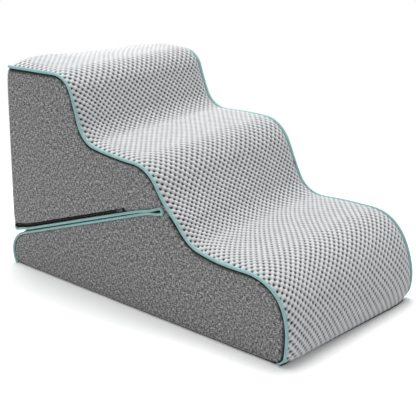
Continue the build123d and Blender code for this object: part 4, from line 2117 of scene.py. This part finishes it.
@dataclass
class FoamCores:
    """The two foam blocks inside the cover."""

    half_width: float = 187.5
    inset: float = 6.5
    soften: float = 5.0
    spacing: float = 8.0
    front: float = 40.0
    under: float = 2.8
    lift: float = 2.0
    off_slit: Pair = (6.0, 8.0)
    off_floor: float = 3.0
    floor: float = 2.6
    behind: float = 3.0

    def core(self, name: str, outline: Points) -> Piece:
        """One block: its side view drawn out across the width, with softened edges.

        Args:
            name: The piece's name.
            outline: Its corners in the side view.

        Returns:
            The block, which rides on nothing yet.
        """
        piece = Bench.outline(name, outline, -self.half_width)
        across = {"value": (2 * self.half_width * MM, 0, 0)}
        bpy.ops.mesh.extrude_region_move(TRANSFORM_OT_translate=across)
        Bench.clear()
        Bench.place(piece, FIT.settle(Bench.points(piece)))
        Bench.face_outwards(piece)
        Bench.modify(piece, "BEVEL", width=self.soften * MM, segments=2, angle_limit=math.radians(50))
        Bench.face_outwards(piece)
        FOAM.dress(piece)
        return piece

    def build(self) -> list[Piece]:
        """Make both cores.

        Returns:
            The lower and the upper one.
        """
        track = Track.of(PROFILE.stretches(PROFILE.top_rear), self.spacing)
        steps = track.moved(-self.inset)
        _, up = SLIT.coordinates(steps)
        radius = SLIT.nose_radius
        nose = SLIT.rear_nose(radius, radius, over=self.off_floor).trace(self.spacing)[0]
        front = SLIT.place(np.array([self.front]), -self.under)
        below, above = self.off_slit
        keep = steps[(up < -below) & (steps[:, 1] > self.off_floor)]
        foot = np.array([[keep[0, 0], self.floor], [nose[-1, 0], self.floor]])
        lower = self.core("lower_foam", np.vstack([foot[:1], keep, front, nose, foot[1:]]))
        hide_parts("lower_foam_core")
        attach(lower, "lower_block")
        end = float(SLIT.coordinates(SLIT.rear_end(self.under, self.behind))[0])
        backs = np.array([self.front, end - SLIT.rear_reach, end - SLIT.rear_reach / 2, end])
        slit = SLIT.upper_edge(backs, self.under + self.lift)
        top = steps[up > above]
        wall = PROFILE.rear_wall(top[-1, 1]) - self.behind
        upper = self.core("upper_foam", np.vstack([top, [wall, top[-1, 1]], slit[::-1]]))
        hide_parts("upper_foam_core")
        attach(upper, "upper_block")
        return [lower, upper]


# Zipper


@dataclass
class Zipper:
    """Two tapes, two rows of nylon teeth, and the metal parts at home on them."""

    from_hinge: float = 120.0
    teeth_from_hinge: float = 125.1
    tape_width: float = 2.9
    tape_lows: Pair = (6.6, 11.4)
    tape_thickness: float = 1.0
    tape_faces: tuple[int, int] = (300, 3)
    tape_arch: float = 0.15
    tooth_pitch: float = 1.6
    tooth_radius: float = 0.45
    tooth_shape: Triple = (1.15, 1.0, 0.62)
    tooth_round: float = 0.12
    tooth_lead: float = 0.54
    tooth_middles: Pair = (10.0, 10.9)
    tooth_reach: float = 1.3
    tooth_stand: float = 0.1
    bevel: float = 0.25
    castings: tuple[tuple[str, str, str], ...] = (
        ("zipper_stops", "zipper_end_stops", "upper_block"),
        ("zipper_slider", "zipper_slider_cast", "slider"),
        ("zipper_pull", "zipper_pull_tab", "pull"),
    )

    def edge(self, back: float, up: float) -> BlockEdge:
        """The line round the block that starts at a distance from the hinge."""
        return BlockEdge(0.0, float(SLIT.place(back, up)[0]), up)

    def tape(self, word: str, low: float) -> Piece:
        """One woven tape, level with the cloth around it.

        Args:
            word: Which one, lower or upper.
            low: Height of its lower edge over the slit.

        Returns:
            The tape.
        """
        edge = self.edge(self.from_hinge, low)
        columns, rows = self.tape_faces
        piece = Bench.edge_row(f"zipper_tape_{word}_woven", columns, edge.track.length)
        bpy.ops.mesh.extrude_repeat(steps=rows, offset=(0, 0, self.tape_width / rows * MM))
        Bench.clear()
        points = Bench.points(piece)
        points[:, 0] += edge.track.length / 2
        points[:, 2] += low
        arch = np.cos(2 * math.pi * (points[:, 2] - low) / self.tape_width)
        points[:, 1] -= self.tape_arch * arch
        Bench.place(piece, points)
        edge.wrap(piece, np.zeros_like)
        Bench.turn_to(piece, (0, 1, 0))
        Bench.thicken(piece, self.tape_thickness, 50)
        TAPE_CLOTH.dress(piece)
        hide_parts(f"zipper_tape_{word}")
        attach(piece, "upper_block")
        return piece

    def teeth(self, word: str, middle: float) -> Piece:
        """One row of nylon teeth, modelled once and copied round the block.

        Args:
            word: Which one, lower or upper.
            middle: Height of its middle over the slit.

        Returns:
            The row, as one piece.
        """
        edge = self.edge(self.teeth_from_hinge, middle)
        length = edge.track.length
        Bench.clear()
        radius, depth = self.tooth_radius * MM, self.tooth_reach * MM
        bpy.ops.mesh.primitive_cylinder_add(vertices=6, radius=radius, depth=depth)
        piece = Bench.name(bpy.context.object, f"zipper_teeth_{word}")
        Bench.edit_whole(piece)
        bpy.ops.transform.resize(value=self.tooth_shape)
        bpy.ops.mesh.bevel(offset=self.tooth_round * MM, segments=1)
        Bench.clear()
        count = int(length / self.tooth_pitch)
        step = {"use_constant_offset": True, "constant_offset_displace": (length / count * MM, 0, 0)}
        Bench.modify(piece, "ARRAY", count=count, use_relative_offset=False, **step)
        points = Bench.points(piece)
        points[:, 0] += self.tooth_lead
        points[:, 1] += self.tooth_stand
        points[:, 2] += middle
        Bench.place(piece, points)
        edge.wrap(piece, np.zeros_like)
        Bench.face_outwards(piece, 40)
        NYLON.dress(piece)
        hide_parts(f"zipper_coil_{word}")
        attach(piece, "upper_block")
        return piece

    def cast(self, node: str, name: str, body: str) -> Piece:
        """A metal part with its edges rounded as a casting's are.

        Args:
            node: The CAD node that it is a copy of.
            name: The piece's name.
            body: The body that it rides on.

        Returns:
            The part.
        """
        Bench.take(bpy.data.objects[node])
        bpy.ops.object.duplicate()
        piece = Bench.name(bpy.context.object, name)
        Bench.edit_whole(piece)
        bpy.ops.mesh.remove_doubles(threshold=0.002 * MM)
        bpy.ops.mesh.tris_convert_to_quads()
        Bench.clear()
        limit = math.radians(40)
        Bench.modify(piece, "BEVEL", width=self.bevel * MM, segments=2, angle_limit=limit)
        Bench.face_outwards(piece, 35)
        ZINC.dress(piece)
        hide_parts(node)
        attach(piece, body)
        return piece

    def build(self) -> list[Piece]:
        """Make the whole zipper.

        Returns:
            The pieces.
        """
        words = ("lower", "upper")
        made = [self.tape(word, low) for word, low in zip(words, self.tape_lows)]
        made += [self.teeth(word, middle) for word, middle in zip(words, self.tooth_middles)]
        return made + [self.cast(*casting) for casting in self.castings]


# Studio


@dataclass(frozen=True)
class Softbox:
    """A square soft lamp: its place and size in metres and its power in watts."""

    name: str
    place: Triple
    size: float
    power: float

    def hang(self, aim: Vector) -> None:
        """Add the lamp to the scene.

        Args:
            aim: The place that it is turned to.
        """
        data = bpy.data.lights.new(self.name, "AREA")
        data.size, data.energy = self.size, self.power
        lamp = bpy.data.objects.new(self.name, data)
        bpy.context.collection.objects.link(lamp)
        lamp.location = self.place
        lamp.rotation_mode = "QUATERNION"
        lamp.rotation_quaternion = (aim - Vector(self.place)).to_track_quat("-Z", "Y")


@dataclass
class Studio:
    """White floor, soft lamps and the camera, as in the photograph."""

    camera_place: Triple = (-1.42996, -1.26016, 0.83066)
    azimuth: float = -48.880
    elevation: float = 19.482
    lens: float = 86.64
    sensor: float = 36.0
    floor_colour: str = "F0F0F0"
    floor_gain: float = 1.45
    clean_from: float = 0.55
    clean_to: float = 1.1
    ambient: float = 0.33
    middle: Triple = (0, 0, 0.2)
    lamps: tuple[Softbox, ...] = (
        Softbox("overhead_softbox", (0.42, 0.5, 3.3), 2.4, 104.0),
        Softbox("front_softbox", (-1.4, -2.4, 1.0), 1.6, 6.0),
        Softbox("left_softbox", (-1.9, 1.1, 0.9), 1.0, 6.0),
    )

    def camera(self) -> None:
        """Set up the camera at the photograph's place and angle."""
        turn, lift = math.radians(self.azimuth), math.radians(self.elevation)
        level = math.cos(lift)
        back = Vector((math.sin(turn) * level, -math.cos(turn) * level, math.sin(lift)))
        data = bpy.data.cameras.new("camera")
        data.lens, data.sensor_width, data.clip_end = self.lens, self.sensor, 100
        camera = bpy.data.objects.new("camera", data)
        bpy.context.collection.objects.link(camera)
        camera.location = self.camera_place
        camera.rotation_mode = "QUATERNION"
        camera.rotation_quaternion = (-back).to_track_quat("-Z", "Y")
        bpy.context.scene.camera = camera

    def floor(self) -> None:
        """A wide white floor that shows as white where nothing shades it."""
        Bench.clear()
        bpy.ops.mesh.primitive_plane_add(size=30)
        floor = Bench.name(bpy.context.object, "studio_floor")
        material = bpy.data.materials.new("matt_white_paper")
        material.use_nodes = True
        tree = material.node_tree
        tree.nodes.clear()
        rays = add(tree, "LightPath")
        white = linear(self.floor_colour)
        bright = tuple(self.floor_gain * part for part in white[:3]) + (1.0,)
        seen = rays.outputs["Is Camera Ray"]
        colour = add(tree, "Mix", {0: seen, 6: white, 7: bright}, data_type="RGBA")
        paper = add(tree, "BsdfDiffuse", {"Color": colour.outputs[2]})
        clean = add(tree, "Emission", {"Strength": 1.0})
        place = add(tree, "TexCoord").outputs["Object"]
        away = add(tree, "VectorMath", {0: place}, operation="LENGTH").outputs["Value"]
        ends = {"Value": away, "From Min": self.clean_from, "From Max": self.clean_to}
        far = add(tree, "MapRange", ends, interpolation_type="SMOOTHSTEP")
        share = add(tree, "Math", {0: far, 1: seen}, operation="MULTIPLY")
        both = add(tree, "MixShader", {0: share, 1: paper, 2: clean})
        add(tree, "OutputMaterial", {"Surface": both})
        floor.data.materials.append(material)

    def world(self) -> None:
        """White to the camera and to shiny parts, and a low even light to the rest."""
        world = bpy.data.worlds.new("studio")
        bpy.context.scene.world = world
        world.use_nodes = True
        tree = world.node_tree
        tree.nodes.clear()
        rays = add(tree, "LightPath")
        either = {0: rays.outputs["Is Camera Ray"], 1: rays.outputs["Is Glossy Ray"]}
        seen = add(tree, "Math", either, operation="MAXIMUM")
        strength = add(tree, "MapRange", {"Value": seen, "To Min": self.ambient, "To Max": 1.0})
        light = add(tree, "Background", {"Color": linear("FFFFFF"), "Strength": strength})
        add(tree, "OutputWorld", {"Surface": light})

    def build(self) -> None:
        """Set up the camera, the floor and the light."""
        self.camera()
        self.floor()
        self.world()
        for lamp in self.lamps:
            lamp.hang(Vector(self.middle))
        bpy.context.scene.view_settings.view_transform = "Standard"


# The whole


def main() -> None:
    """Build the stairs round the CAD frame."""
    logging.basicConfig(level=logging.INFO, format="%(message)s")
    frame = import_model()
    LOG.info("frame with %d nodes", len(frame["nodes"]))
    Studio().build()
    made = [KnitCover().build()]
    made += Piping().build()
    for side in Side:
        made += SidePanels(side).build()
    made += HiddenPanels().build()
    made += FoamCores().build()
    made += Zipper().build()
    for piece in made:
        LOG.info("%s: %d faces", piece.name, len(piece.data.polygons))


if __name__ == "__main__":
    main()
